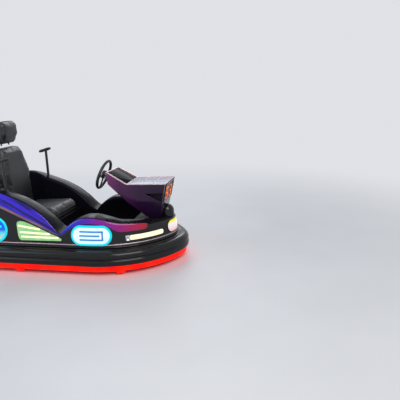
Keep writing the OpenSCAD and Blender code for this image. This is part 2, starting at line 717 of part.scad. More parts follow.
// Frame behind the seat's back: two uprights with a cross bar, and the headrest's posts
post_r = 7;
post_y = 55;
upright_bar = [8, 40, 420];
upright_y = 120;
cross_bar_z = 300;
module seat_frame() {
  x = back_rear - lay - upright_bar.x;
  color("dimgray") union() {
    for (s = [-1, 1]) translate([x, s * upright_y - upright_bar.y / 2, seat_z]) cube(upright_bar);
    translate([x, -upright_y, seat_z + cross_bar_z]) cube([upright_bar.x, 2 * upright_y, upright_bar.y]);
    for (s = [-1, 1]) translate([back_rear + 58, s * post_y, back_z + lay])
      cylinder(h = head_gap - 2 * lay, r = post_r, $fn = 32);
  }
}

// Grab handles: a post on the fin with a sloping grip across its top
handle_r = 12;
handle_foot_r = 1.6 * handle_r;
handle_x = corner_cx + handle_foot_r + 2;
handle_y = 352;
grip_l = 108;
grip_slope = 16;
grip_shift = -10;
// Height of a fin's top at x, between its rows
function fin_top(x, i = 0) =
  x < fin_x(rear_fin[i + 1]) && rear_fin[i + 1][0] < 1 ? fin_top(x, i + 1)
  : let (a = fin_x(rear_fin[i]), b = fin_x(rear_fin[i + 1]))
    rear_fin[i][2] + (rear_fin[i + 1][2] - rear_fin[i][2]) * (a - x) / (a - b);
module grab_handles() {
  foot_z = fin_top(handle_x);
  slope = atan2(fin_top(handle_x - 1) - foot_z, 1);
  color("black") for (s = [-1, 1]) translate([handle_x, s * handle_y, 0]) union() {
    translate([0, 0, foot_z]) rotate([0, slope, 0]) translate([0, 0, lay]) cylinder(h = 8, r = handle_foot_r, $fn = 48);
    translate([0, 0, foot_z + 4]) cylinder(h = handle_z - foot_z - 4, r = handle_r, $fn = 32);
    translate([grip_shift, 0, handle_z]) rotate([0, 90 - grip_slope, 0]) {
      cylinder(h = grip_l, r = handle_r, center = true, $fn = 32);
      for (e = [-1, 1]) translate([0, 0, e * grip_l / 2]) sphere(r = handle_r, $fn = 32);
    }
  }
}

// Pedal: a foot plate, a stay and a sloping pad
pedal_x = cockpit_x1 - 106;
pedal_y = 150;
pedal = [90, 80, 6];
pedal_slope = 28;
pedal_pad = [100, 70, 8];
stay = [8, 20, 45];
module foot_pedal() {
  color("silver") translate([pedal_x, -pedal_y, rail_top + pan_t]) union() {
    cube(pedal);
    translate([0, (pedal.y - pedal_pad.y) / 2, pedal.z - 1]) rotate([0, -pedal_slope, 0]) cube(pedal_pad);
    translate([pedal.x - stay.x, (pedal.y - stay.y) / 2, 0]) cube(stay);
  }
}

// Steering wheel and shaft, around the column's axis
rim_r = steer_rim / 2;
boss = [38, 26];
boss_drop = 14;
spoke = [28, 8];
module steering_wheel() {
  color("black") steer_place() difference() {
    union() {
      rotate_extrude($fn = 96) translate([steer_d / 2 - rim_r, 0]) circle(r = rim_r, $fn = 32);
      translate([0, 0, -boss_drop]) cylinder(h = boss.y, r = boss.x, $fn = 64);
      for (a = [90, 180, 270]) rotate([0, 0, a]) translate([0, -spoke.x / 2, -spoke.y / 2])
        cube([steer_d / 2 - rim_r, spoke.x, spoke.y]);
    }
    translate([0, 0, -boss_drop - 1]) cylinder(h = 20, r = steer_shaft_r, $fn = 48);
  }
}
module steering_shaft() {
  color("silver") steer_place() translate([0, 0, 20 - boss_drop - shaft_l]) cylinder(h = shaft_l - 1, r = steer_shaft_r, $fn = 48);
}

// Drive unit: fork with its pivot pin, motor, hub and tyre
fork_gap = 9;
fork_y = drive_tyre_w / 2 + fork_gap;
fork_t = 8;
fork_w = 70;
fork_disc = [80, 12];
fork_drop = 28;
pin_l = 60;
fork_top = bridge_z - 0.5 - fork_disc.y;
motor_y = fork_y + fork_t;
swing_gap = 7;
rail_clear = 26;
motor_end = min(rail_y - rail_s / 2 - rail_clear, sqrt(pow(drive_space_r - swing_gap, 2) - pow(motor_r, 2)));
motor_l = motor_end - motor_y;
end_nut = [8, 6];
module drive_fork() {
  color("gray") translate([pivot_x, 0, 0]) difference() {
    union() {
      translate([0, 0, fork_top]) cylinder(h = fork_disc.y, r = fork_disc.x, $fn = 64);
      translate([0, 0, fork_top]) cylinder(h = pin_l, r = pivot_r, $fn = 64);
      for (s = [-1, 1]) translate([-fork_w / 2, s * (fork_y + fork_t / 2) - fork_t / 2, wheel_r - fork_drop])
        cube([fork_w, fork_t, fork_top - wheel_r + fork_drop + 1]);
    }
    translate([0, 0, wheel_r]) rotate([90, 0, 0]) cylinder(h = car_w, r = axle_r, center = true, $fn = 48);
  }
}
module drive_motor() {
  color("dimgray") translate([pivot_x, 0, wheel_r]) rotate([90, 0, 0]) union() {
    translate([0, 0, motor_y]) cylinder(h = motor_l, r = motor_r, $fn = 64);
    translate([0, 0, -motor_y - end_nut.y]) cylinder(h = end_nut.y, r = axle_r + end_nut.x, $fn = 48);
    translate([0, 0, -motor_y]) cylinder(h = 2 * motor_y, r = axle_r, $fn = 48);
  }
}
module wheel_hub(w) {
  rotate([90, 0, 0]) rotate_extrude($fn = 72) polygon([
    [axle_r + pin_gap, -w / 2], [axle_r + 14, -w / 2], [axle_r + 20, -w / 4], [hub_r - 12, -w / 4],
    [hub_r, -w / 2 + 3], [hub_r, w / 2 - 3], [hub_r - 12, w / 4], [axle_r + 20, w / 4],
    [axle_r + 14, w / 2], [axle_r + pin_gap, w / 2]]);
}
module wheel_tyre(w) {
  rotate([90, 0, 0]) rotate_extrude($fn = 96) polygon([
    [hub_r, -w / 2 + 3], [hub_r + 6, -w / 2], [wheel_r - 8, -w / 2], [wheel_r, -w / 2 + 10],
    [wheel_r, w / 2 - 10], [wheel_r - 8, w / 2], [hub_r + 6, w / 2], [hub_r, w / 2 - 3]]);
}
module drive_hub() { color("silver") translate([pivot_x, 0, wheel_r]) wheel_hub(drive_tyre_w); }
module drive_tyre() { color([0.1, 0.1, 0.1]) translate([pivot_x, 0, wheel_r]) wheel_tyre(drive_tyre_w); }
module rear_hub_left() { color("silver") translate([rear_axle_x, rear_track / 2, wheel_r]) wheel_hub(rear_tyre_w); }
module rear_tyre_left() { color([0.1, 0.1, 0.1]) translate([rear_axle_x, rear_track / 2, wheel_r]) wheel_tyre(rear_tyre_w); }
module rear_hub_right() { color("silver") translate([rear_axle_x, -rear_track / 2, wheel_r]) wheel_hub(rear_tyre_w); }
module rear_tyre_right() { color([0.1, 0.1, 0.1]) translate([rear_axle_x, -rear_track / 2, wheel_r]) wheel_tyre(rear_tyre_w); }

chassis_frame();
floor_pan();
battery_block();
rear_axle();
bumper_ring();
glow_strip();
nose_shell();
side_wall_left();
side_wall_right();
tail_shell();
nose_dome();
front_fender_left();
front_fender_right();
rear_fender_left();
rear_fender_right();
lamp_front_centre();
lamp_corner_left();
lamp_corner_right();
lamp_oval_left();
lamp_oval_right();
lamp_triangle_left();
lamp_triangle_right();
lamp_round_left();
lamp_round_right();
lamps_rear_upper();
lamps_tail();
console_shell();
console_top_plate();
windscreen_panel();
score_display();
seat_base();
seat_frame();
seat_cushion();
seat_back();
headrest();
grab_handles();
foot_pedal();
steering_wheel();
steering_shaft();
drive_fork();
drive_motor();
drive_hub();
drive_tyre();
rear_hub_left();
rear_tyre_left();
rear_hub_right();
rear_tyre_right();
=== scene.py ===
"""Looks of the battery bumper car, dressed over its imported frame."""

import bmesh
import bpy
import logging
import math
from dataclasses import dataclass, field
from enum import Enum, IntEnum
from mathutils import Matrix, Vector
from typing import Callable


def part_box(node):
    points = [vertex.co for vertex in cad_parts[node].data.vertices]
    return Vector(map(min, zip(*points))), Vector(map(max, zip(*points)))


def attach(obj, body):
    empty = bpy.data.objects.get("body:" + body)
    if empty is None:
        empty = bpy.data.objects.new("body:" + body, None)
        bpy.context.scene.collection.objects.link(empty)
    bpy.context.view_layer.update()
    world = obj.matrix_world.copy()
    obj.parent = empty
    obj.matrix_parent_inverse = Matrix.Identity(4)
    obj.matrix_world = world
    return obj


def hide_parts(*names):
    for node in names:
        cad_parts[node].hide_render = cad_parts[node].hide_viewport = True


log = logging.getLogger("bumper_car")
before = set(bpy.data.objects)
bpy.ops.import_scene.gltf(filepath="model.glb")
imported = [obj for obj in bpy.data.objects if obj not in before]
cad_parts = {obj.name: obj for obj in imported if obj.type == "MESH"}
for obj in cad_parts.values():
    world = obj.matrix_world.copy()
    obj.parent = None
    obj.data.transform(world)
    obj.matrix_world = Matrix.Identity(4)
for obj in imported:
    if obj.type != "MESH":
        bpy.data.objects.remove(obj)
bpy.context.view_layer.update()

Piece = bpy.types.Object
Tree = bpy.types.NodeTree
Socket = bpy.types.NodeSocket
Point = tuple[float, float, float]
Step = Callable[[], object]
Test = Callable[[Vector, Vector], bool]
Table = tuple[tuple[float, ...], ...]


class Side(IntEnum):
    """A side of the car, as the sign of its y."""

    LEFT = 1
    RIGHT = -1


# Finishes

class Pattern(Enum):
    """What the surface shows besides its colour."""

    PLAIN = "plain"
    FLAKES = "flakes"
    STREAKS = "streaks"
    GRAIN = "grain"
    BRUSHED = "brushed"


class Axis(Enum):
    """The axis that a grading follows."""

    ALONG = "X"
    UP = "Z"


STRETCH = {Pattern.BRUSHED: (1.0, .07, .07), Pattern.STREAKS: (1.0, 1.0, .07)}
CONTRAST = {Pattern.STREAKS: (0.47, 0.60), Pattern.FLAKES: (0.50, 0.72)}
STREAK_TURN = math.radians(28)
COAT_ROUGH = 0.04
SOFT_SCALE = 7.0
ROUGH_SPREAD = (-0.05, 0.07)
GLOW_SHADE = 0.85
RELIEF = 0.002


def feed(tree: Tree, node: bpy.types.Node, inputs: dict[str | int, object]) -> None:
    """Sets a shader node's inputs.

    Args:
        tree: The node tree.
        node: The node.
        inputs: What each input gets. A socket is linked to it, and anything else is its value.
    """
    for key, value in inputs.items():
        if isinstance(value, Socket):
            tree.links.new(value, node.inputs[key])
        else:
            node.inputs[key].default_value = value


def grow(tree: Tree, kind: str, inputs: dict[str | int, object], **settings: object) -> bpy.types.Node:
    """Adds a shader node.

    Args:
        tree: The node tree.
        kind: Type of the node, without its common beginning.
        inputs: What its inputs get, as feed takes it.
        settings: The node's own settings.

    Returns:
        The node.
    """
    node = tree.nodes.new(f"ShaderNode{kind}")
    for key, value in settings.items():
        setattr(node, key, value)
    feed(tree, node, inputs)
    return node


def ramp(tree: Tree, share: Socket, stops: list[tuple[float, Point]]) -> Socket:
    """Adds a colour ramp.

    Args:
        tree: The node tree.
        share: What the ramp reads.
        stops: Its places from 0 to 1, and their colours.

    Returns:
        The socket with its colour.
    """
    node = grow(tree, "ValToRGB", {"Fac": share})
    elements = node.color_ramp.elements
    for k, (at, colour) in enumerate(stops):
        stop = elements[k] if k < 2 else elements.new(at)
        stop.position, stop.color = at, (*colour, 1.0)
    return node.outputs["Color"]


@dataclass(frozen=True)
class Finish:
    """One finish, made as a node material.

    Args:
        name: Name of the material.
        colour: Base colour, linear.
        other: Colour that the pattern mixes in.
        rough: Roughness at its middle.
        metal: Metallic share.
        coat: Clear coat weight.
        scale: Scale of the pattern in Object coordinates.
        bump: Strength of the fine relief.
        glow: Strength of the emission.
        pattern: What the surface shows.
        shine: Specular level.
        stops: Places and colours of a grading along an axis, in metres.
        axis: The grading's axis.
    """

    name: str
    colour: Point
    other: Point
    rough: float
    metal: float = 0.0
    coat: float = 0.0
    scale: float = 60.0
    bump: float = 0.05
    glow: float = 0.0
    pattern: Pattern = Pattern.PLAIN
    shine: float = 0.5
    stops: tuple[tuple[float, Point], ...] = ()
    axis: Axis = Axis.ALONG

    def material(self) -> bpy.types.Material:
        """Makes the material once.

        Returns:
            The material of this finish.
        """
        if self.name in bpy.data.materials:
            return bpy.data.materials[self.name]
        made = bpy.data.materials.new(self.name)
        made.use_nodes = True
        made.diffuse_color = (*self.colour, 1.0)
        tree = made.node_tree
        coords = grow(tree, "TexCoord", {}).outputs["Object"]
        pattern = self.mottled(tree, coords)
        low, high = CONTRAST.get(self.pattern, (0.35, 0.75))
        shown = ramp(tree, pattern, [(low, self.colour), (high, self.other)])
        if self.stops:
            shown = self.graded(tree, coords, shown)
        soft = grow(tree, "TexNoise", {"Vector": coords, "Scale": SOFT_SCALE, "Detail": 3.0})
        smoother, rougher = ROUGH_SPREAD
        spread = grow(tree, "MapRange", {"Value": soft.outputs["Fac"], "To Min": max(0.0, self.rough + smoother),
                                         "To Max": min(1.0, self.rough + rougher)})
        shader = tree.nodes["Principled BSDF"]
        feed(tree, shader, {"Metallic": self.metal, "Coat Weight": self.coat, "Coat Roughness": COAT_ROUGH,
                            "Specular IOR Level": self.shine, "Roughness": spread.outputs["Result"]})
        if self.glow:
            feed(tree, shader, {"Emission Color": shown, "Emission Strength": self.glow})
            shown = grow(tree, "Mix", {"Factor": GLOW_SHADE, "A": shown, "B": (0, 0, 0, 1)},
                         data_type="RGBA").outputs["Result"]
        feed(tree, shader, {"Base Color": shown})
        if self.bump:
            if self.pattern is Pattern.GRAIN:
                pattern = grow(tree, "TexVoronoi", {"Vector": coords, "Scale": self.scale}).outputs[0]
            relief = grow(tree, "Bump", {"Strength": self.bump, "Distance": RELIEF, "Height": pattern})
            feed(tree, shader, {"Normal": relief.outputs["Normal"]})
        return made

    def mottled(self, tree: Tree, coords: Socket) -> Socket:
        """Adds the noise behind the pattern, stretched and turned as the pattern needs.

        Args:
            tree: The node tree.
            coords: The piece's own coordinates.

        Returns:
            The socket with the noise.
        """
        turn = STREAK_TURN if self.pattern is Pattern.STREAKS else 0.0
        place = grow(tree, "Mapping", {"Vector": coords, "Scale": STRETCH.get(self.pattern, (1.0, 1.0, 1.0)),
                                       "Rotation": (0.0, turn, 0.0)}, vector_type="TEXTURE")
        noise = grow(tree, "TexNoise", {"Vector": place.outputs["Vector"], "Scale": self.scale, "Detail": 6.0})
        return noise.outputs[0]

    def graded(self, tree: Tree, coords: Socket, pattern: Socket) -> Socket:
        """Adds the grading along the axis under the pattern.

        Args:
            tree: The node tree.
            coords: The piece's own coordinates.
            pattern: The pattern's colour, which multiplies the grading.

        Returns:
            The socket with the mixed colour.
        """
        first, last = self.stops[0][0], self.stops[-1][0]
        apart = grow(tree, "SeparateXYZ", {"Vector": coords})
        span = grow(tree, "MapRange", {"Value": apart.outputs[self.axis.value], "From Min": first, "From Max": last})
        grades = ramp(tree, span.outputs["Result"],
                      [((at - first) / (last - first), colour) for at, colour in self.stops])
        return grow(tree, "Mix", {"Factor": 1.0, "A": grades, "B": pattern}, data_type="RGBA",
                    blend_type="MULTIPLY").outputs["Result"]


FULL: Point = (1.0, 1.0, 1.0)
BODY = Finish("body_gloss_black", (0.006, 0.006, 0.009), (0.010, 0.010, 0.016), 0.10, coat=0.2, scale=900, bump=0.01,
              pattern=Pattern.FLAKES, shine=0.3)
RUBBER = Finish("ring_rubber_black", (0.005, 0.005, 0.006), (0.010, 0.010, 0.012), 0.15, scale=35, bump=0.03,
                shine=0.32)
INNER = Finish("fender_inner_black", (0.005, 0.005, 0.008), (0.010, 0.009, 0.018), 0.22, scale=700, bump=0.03,
               shine=0.08)
DECK = Finish("deck_grained_black", (0.006, 0.006, 0.008), (0.012, 0.012, 0.015), 0.55, scale=260, bump=0.20,
              pattern=Pattern.GRAIN, shine=0.12)
FIN = Finish("fin_gloss_blue", FULL, (0.16, 0.16, 0.22), 0.16, coat=0.2, scale=3.4, bump=0.0, pattern=Pattern.STREAKS,
             shine=0.3, stops=((-.80, (.050, .032, .80)), (-.30, (.046, .016, .72)), (-.08, (.060, .012, .55)),
                               (.02, (.020, .012, .42))))
# Blue and violet paint on the front fender; its magenta and red towards the nose are painted reflection of coloured
# lamp light.
WAVE_PAINT_AND_REFLECTION = Finish("wave_gloss_violet", FULL, (0.72, 0.62, 0.8), 0.14, coat=0.25, scale=2.2, bump=0.0, shine=0.3,
              stops=((.00, (.010, .020, .45)), (.10, (.010, .030, .75)), (.22, (.10, .015, .55)),
                     (.34, (.30, .006, .42)), (.52, (.40, .005, .20)), (.66, (.58, .012, .040)),
                     (.70, (.40, .02, .03))))
EDGE = Finish("fin_edge_mauve", (0.20, 0.11, 0.15), (0.34, 0.20, 0.22), 0.22, metal=0.6, coat=0.4, scale=6, bump=0.01)
# Dark violet paint on the console; the magenta towards its rear is painted reflection of pink light.
VIOLET_AND_PINK_REFLECTION = Finish("console_dark_violet", FULL, (0.6, 0.6, 0.7), 0.20, metal=0.1, coat=0.15, scale=4, bump=0.01,
                shine=0.25, stops=((.30, (.20, .035, .16)), (.42, (.085, .018, .085)), (.60, (.030, .008, .042)),
                                   (.84, (.014, .006, .026))))
PALE = Finish("plate_grey_blue", (0.23, 0.27, 0.38), (0.29, 0.33, 0.44), 0.34, coat=0.1, scale=6, bump=0.0)
TRIM = Finish("trim_pale_pink", (0.62, 0.44, 0.47), (0.80, 0.62, 0.62), 0.22, metal=0.5, coat=0.3, scale=40, bump=0.01)
GLASS_BLACK = Finish("screen_gloss_black", (0.003, 0.003, 0.005), (0.008, 0.008, 0.012), 0.10, scale=8, bump=0.0,
                     shine=0.015)
# Matt black for the hollow below the console's beak: painted shade under its overhang.
HOLLOW_PAINTED_SHADE = Finish("hollow_matt_black", (0.004, 0.003, 0.006), (0.008, 0.006, 0.010), 0.6, scale=60, bump=0.05, shine=0.2)
RED_GLOW = Finish("glow_lit_red", (1.0, 0.003, 0.002), (1.0, 0.018, 0.004), 0.4, scale=7, bump=0.02, glow=1.5,
                  shine=0.08)
TAIL_GLOW = Finish("tail_lens_lit_red", (0.42, 0.002, 0.002), (0.60, 0.006, 0.003), 0.25, scale=30, bump=0.05, glow=0.9)
CYAN_GLOW = Finish("lens_lit_cyan", (0.0, 0.66, 0.84), (0.01, 0.82, 0.92), 0.2, scale=14, bump=0.02, glow=0.98,
                   shine=0.25)
WHITE_GLOW = Finish("lens_lit_white", (0.72, 0.96, 0.92), (0.90, 1.0, 0.98), 0.2, scale=18, bump=0.02, glow=0.92)
WARM_GLOW = Finish("lens_lit_warm", (1.0, 0.95, 0.55), (1.0, 0.99, 0.80), 0.2, scale=22, bump=0.02, glow=1.05)
FRONT_GLOW = Finish("front_lens_lit", FULL, (0.95, 0.9, 0.95), 0.2, scale=20, bump=0.02, glow=0.9, axis=Axis.UP,
                    stops=((.255, (.85, .50, .42)), (.285, (.90, .76, .86)), (.315, (.95, .88, .80)),
                           (.335, (.95, .85, .05)), (.352, (.75, .72, .02))))
GREEN_GLOW = Finish("lens_lit_green", (0.25, 0.58, 0.20), (0.36, 0.70, 0.34), 0.25, scale=20, bump=0.02, glow=0.92,
                    shine=0.3)
BLUE_GLOW = Finish("lens_lit_blue", FULL, (0.8, 0.8, 0.9), 0.2, scale=20, bump=0.02, glow=0.85, shine=0.25,
                   axis=Axis.UP, stops=((.24, (.70, .80, .60)), (.30, (.40, .75, .80)), (.34, (.005, .17, .92)),
                                        (.44, (.004, .09, .84))))
BAR_GLOW = Finish("bar_lit_blue", (0.0, 0.16, 0.62), (0.0, 0.28, 0.80), 0.2, scale=20, bump=0.02, glow=0.9)
ORANGE_GLOW = Finish("display_lit_orange", (1.0, 0.035, 0.004), (1.0, 0.42, 0.01), 0.3, scale=34, bump=0.0, glow=1.4,
                     shine=0.08)
PLATE_SILVER = Finish("end_plate_silver", (0.55, 0.56, 0.62), (0.70, 0.71, 0.76), 0.2, metal=0.8, scale=60, bump=0.02)
DISPLAY_RED = Finish("display_dim_red", (0.020, 0.001, 0.002), (0.040, 0.001, 0.003), 0.25, scale=40, bump=0.0,
                     glow=0.9, shine=0.15)
VINYL = Finish("seat_black_vinyl", (0.012, 0.012, 0.014), (0.022, 0.022, 0.026), 0.38, scale=420, bump=0.18,
               pattern=Pattern.GRAIN)
SEAM = Finish("seat_seam_grey", (0.05, 0.05, 0.055), (0.09, 0.09, 0.095), 0.6, scale=500, bump=0.2)
FOAM = Finish("wheel_soft_foam", (0.012, 0.012, 0.012), (0.025, 0.025, 0.025), 0.55, scale=500, bump=0.15)
COATED = Finish("handle_powder_coat", (0.012, 0.012, 0.014), (0.022, 0.022, 0.024), 0.34, scale=700, bump=0.10)
STEEL = Finish("frame_satin_steel", (0.016, 0.016, 0.018), (0.040, 0.036, 0.034), 0.40, metal=0.3, scale=22, bump=0.05)
FLOOR = Finish("floor_black_sheet", (0.014, 0.014, 0.016), (0.035, 0.035, 0.038), 0.42, metal=0.2, scale=30, bump=0.08)
ZINC = Finish("zinc_brushed", (0.46, 0.47, 0.49), (0.60, 0.61, 0.63), 0.28, metal=1.0, scale=40, bump=0.04,
              pattern=Pattern.BRUSHED)
ALLOY = Finish("hub_cast_alloy", (0.40, 0.41, 0.43), (0.55, 0.56, 0.58), 0.36, metal=1.0, scale=120, bump=0.10)
CAST_GREY = Finish("motor_cast_grey", (0.05, 0.052, 0.056), (0.09, 0.09, 0.095), 0.5, metal=0.5, scale=160, bump=0.2)
PAINT_GREY = Finish("fork_grey_paint", (0.09, 0.095, 0.10), (0.12, 0.125, 0.13), 0.35, coat=0.2, scale=60, bump=0.03)
TYRE = Finish("tyre_solid_black", (0.014, 0.014, 0.014), (0.030, 0.030, 0.030), 0.62, scale=90, bump=0.15)
BATTERY = Finish("battery_case_dark", (0.018, 0.024, 0.028), (0.03, 0.04, 0.046), 0.45, scale=80, bump=0.06)
STUDIO = Finish("studio_floor_pale", (0.70, 0.71, 0.73), (0.74, 0.75, 0.77), 0.5, scale=1.5, bump=0.0)


# Mesh tools

def select_only(obj: Piece) -> None:
    """Selects one object and makes it the active one.

    Args:
        obj: The object to select.
    """
    bpy.ops.object.select_all(action="DESELECT")
    obj.select_set(True)
    bpy.context.view_layer.objects.active = obj


def edit(obj: Piece, *steps: Step) -> None:
    """Runs edit mode operators on the whole of one mesh.

    Args:
        obj: The mesh object.
        steps: Calls that run in edit mode with everything selected.
    """
    select_only(obj)
    bpy.ops.object.mode_set(mode="EDIT")
    bpy.ops.mesh.select_all(action="SELECT")
    for step in steps:
        step()
    bpy.ops.object.mode_set(mode="OBJECT")


def apply(obj: Piece, kind: str, **values: object) -> None:
    """Adds one modifier and applies it.

    Args:
        obj: The mesh object.
        kind: Type of the modifier.
        values: Its settings.
    """
    select_only(obj)
    made = obj.modifiers.new(kind.lower(), kind)
    for key, value in values.items():
        setattr(made, key, value)
    bpy.ops.object.modifier_apply(modifier=made.name)


def smooth(obj: Piece, degrees: float = 35.0) -> None:
    """Shades smooth, apart from edges sharper than an angle.

    Args:
        obj: The mesh object.
        degrees: The angle.
    """
    select_only(obj)
    bpy.ops.object.shade_smooth_by_angle(angle=math.radians(degrees))


def settle(obj: Piece) -> None:
    """Applies place, turn and scale, so that the object's origin is the frame's.

    Args:
        obj: The object.
    """
    select_only(obj)
    bpy.ops.object.transform_apply(location=True, rotation=True, scale=True)


def begin(operator: Callable[..., object], name: str, **values: object) -> Piece:
    """Adds a primitive with nothing else selected.

    Args:
        operator: The primitive's operator.
        name: Name of the piece.
        values: The operator's values.

    Returns:
        The new object, with its place, turn and scale applied.
    """
    bpy.ops.object.select_all(action="DESELECT")
    operator(**values)
    obj = bpy.context.object
    obj.name = obj.data.name = name
    settle(obj)
    return obj


def faces(wanted: Test) -> None:
    """Selects the faces of the mesh in edit mode that pass a test.

    Args:
        wanted: Takes a face's middle and normal.
    """
    bpy.ops.mesh.select_mode(type="FACE")
    bpy.ops.mesh.select_all(action="DESELECT")
    mesh = bmesh.from_edit_mesh(bpy.context.object.data)
    for face in mesh.faces:
        if wanted(face.calc_center_median(), face.normal):
            face.select_set(True)
    bmesh.update_edit_mesh(bpy.context.object.data)


def edges(wanted: Test) -> None:
    """Selects the edges of the mesh in edit mode that pass a test.

    Args:
        wanted: Takes an edge's middle and its direction.
    """
    bpy.ops.mesh.select_mode(type="EDGE")
    bpy.ops.mesh.select_all(action="DESELECT")
    mesh = bmesh.from_edit_mesh(bpy.context.object.data)
    for edge in mesh.edges:
        a, b = (point.co for point in edge.verts)
        if wanted((a + b) / 2, (b - a).normalized()):
            edge.select_set(True)
    bmesh.update_edit_mesh(bpy.context.object.data)


def points(wanted: Callable[[Vector], bool]) -> None:
    """Selects the points of the mesh in edit mode that pass a test.

    Args:
        wanted: Takes a point's place.
    """
    bpy.ops.mesh.select_mode(type="VERT")
    bpy.ops.mesh.select_all(action="DESELECT")
    mesh = bmesh.from_edit_mesh(bpy.context.object.data)
    for point in mesh.verts:
        if wanted(point.co):
            point.select_set(True)
    bmesh.update_edit_mesh(bpy.context.object.data)


def slices(half: float, step: float = .012) -> None:
    """Cuts the whole mesh in edit mode across its length at even steps.

    Args:
        half: Half of its length.
        step: Length of a slice.
    """
    count = max(2, math.ceil(2 * half / step))
    for k in range(1, count):
        everything()
        bpy.ops.mesh.bisect(plane_co=(-half + 2 * half * k / count + 1e-5, 0, 0), plane_no=(1, 0, 0))


def everything() -> None:
    """Selects the whole mesh in edit mode."""
    bpy.ops.mesh.select_all(action="SELECT")


def outward() -> None:
    """Turns the selected faces outwards."""
    bpy.ops.mesh.normals_make_consistent(inside=False)


def shift(x: float, y: float, z: float) -> Step:
    """Gives the step that moves what is selected."""
    return lambda: bpy.ops.transform.translate(value=(x, y, z))


def push(distance: float) -> None:
    """Moves the selected faces along their normals."""
    bpy.ops.transform.shrink_fatten(value=distance)


def inset(width: float, depth: float = 0.0) -> None:
    """Insets the selected faces as one region."""
    bpy.ops.mesh.inset(thickness=width, depth=depth)


def insets(profile: Table, across: float = 1.0, up: float = 1.0) -> list[Step]:
    """Gives the steps that inset the selected faces row by row.

    Args:
        profile: Width and height of each inset.
        across: What the widths are multiplied by.
        up: What the heights are multiplied by.

    Returns:
        The steps.
    """
    return [lambda width=width, rise=rise: inset(width * across, rise * up) for width, rise in profile]


def twin(obj: Piece, name: str, move: Matrix) -> Piece:
    """Copies a piece with its own mesh.

    Args:
        obj: The piece.
        name: Name of the copy.
        move: What moves, turns or mirrors the copy.

    Returns:
        The copy.
    """
    made = obj.copy()
    made.data = obj.data.copy()
    made.name = made.data.name = name
    bpy.context.scene.collection.objects.link(made)
    made.data.transform(move)
    if move.determinant() < 0:
        edit(made, bpy.ops.mesh.flip_normals)
    return made


def mirrored(obj: Piece) -> Piece:
    """Copies a left piece to the right side."""
    return twin(obj, obj.name.replace("left", "right"), Matrix.Diagonal((1, -1, 1, 1)))


def rod(name: str, ends: tuple[Point, Point], radius: float) -> Piece:
    """Models a thin bar with rounded ends between two points.

    Args:
        name: Name of the piece.
        ends: Its two ends.
        radius: Its radius.

    Returns:
        The bar.
    """
    first, last = Vector(ends[0]), Vector(ends[1])
    way = last - first
    bar = begin(bpy.ops.mesh.primitive_cylinder_add, name, vertices=12, radius=radius, depth=way.length)
    edit(bar, lambda: faces(lambda at, up: abs(up.z) > .9), lambda: inset(radius * .45, radius * .35))
    bar.data.transform(Matrix.Translation((first + last) / 2) @ way.to_track_quat("Z", "Y").to_matrix().to_4x4())
    smooth(bar, 50)
    return bar


def spun(name: str, section: list[tuple[float, float]]) -> Piece:
    """Spins a closed section round the plan's arcs and mirrors it.

    Args:
        name: Name of the piece.
        section: Corners of the section, inset and height.

    Returns:
        The closed hoop.
    """
    nose, sx, sy, cx, cy, tail = PLAN.centres
    nose_turn, tail_turn = PLAN.turns
    hoop = begin(bpy.ops.mesh.primitive_circle_add, name, vertices=len(section), radius=.1)
    for vertex, (inward, z) in zip(hoop.data.vertices, section):
        vertex.co = (PLAN.half_l - inward, 0, z)

    def spin(turn: float, x: float, y: float, steps: int) -> Step:
        """Gives the step that spins the open end to the left about a centre."""
        return lambda: bpy.ops.mesh.spin(steps=steps, angle=turn, center=(x, y, 0), axis=(0, 0, -1))

    edit(hoop, spin(nose_turn, nose, 0, 10), spin(math.pi / 2 - nose_turn, sx, sy, 30),
         lambda: bpy.ops.mesh.extrude_region_move(TRANSFORM_OT_translate={"value": (cx - sx, 0, 0)}),
         spin(tail_turn - math.pi / 2, cx, cy, 22), spin(math.pi - tail_turn, tail, 0, 12),
         everything, lambda: bpy.ops.mesh.remove_doubles(threshold=1e-5))
    apply(hoop, "MIRROR", use_axis=(False, True, False), use_mirror_merge=True, merge_threshold=2e-5)
    edit(hoop, outward)
    return hoop


def surface(name: str, across: int, along: int, place: Callable[[float, float], Point], join: bool = False,
            fill: bool = False, second: Callable[[float], bool] = lambda v: False) -> Piece:
    """Adds a grid and lays its points on a surface.

    Args:
        name: Name of the piece.
        across: Cells in the first direction.
        along: Cells in the second direction.
        place: Gives a point of the surface for two shares from 0 to 1.
        join: Joins points that meet.
        fill: Closes the open ends.
        second: Takes a share of the second direction and tells whether its faces have the second finish.

    Returns:
        The new object.
    """
    bpy.ops.object.select_all(action="DESELECT")
    bpy.ops.mesh.primitive_grid_add(x_subdivisions=across, y_subdivisions=along, size=2)
    obj = bpy.context.object
    obj.name = obj.data.name = name
    for face in obj.data.polygons:
        face.material_index = int(second((face.center.y + 1) / 2))
    for vertex in obj.data.vertices:
        vertex.co = place(min(1, max(0, (vertex.co.x + 1) / 2)), min(1, max(0, (vertex.co.y + 1) / 2)))
    steps: list[Step] = []
    if join:
        steps.append(lambda: bpy.ops.mesh.remove_doubles(threshold=1e-5))
    if fill:
        steps += [lambda: bpy.ops.mesh.fill_holes(sides=0), everything]
    edit(obj, *steps, outward)
    return obj


def dress(obj: Piece, finish: Finish, slot: str, body: str, *nodes: str) -> Piece:
    """Gives a piece its finish and body, and hides the CAD nodes that it stands for.

    Args:
        obj: The piece.
        finish: Its finish.
        slot: The record's material slot; not used.
        body: The body that it rides on.
        nodes: The CAD nodes that it replaces.

    Returns:
        The same piece.
    """
    obj.data.materials.clear()
    obj.data.materials.append(finish.material())
    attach(obj, body)
    if nodes:
        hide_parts(*nodes)
    log.info("%s: %d faces on %s", obj.name, len(obj.data.polygons), body)
    return obj


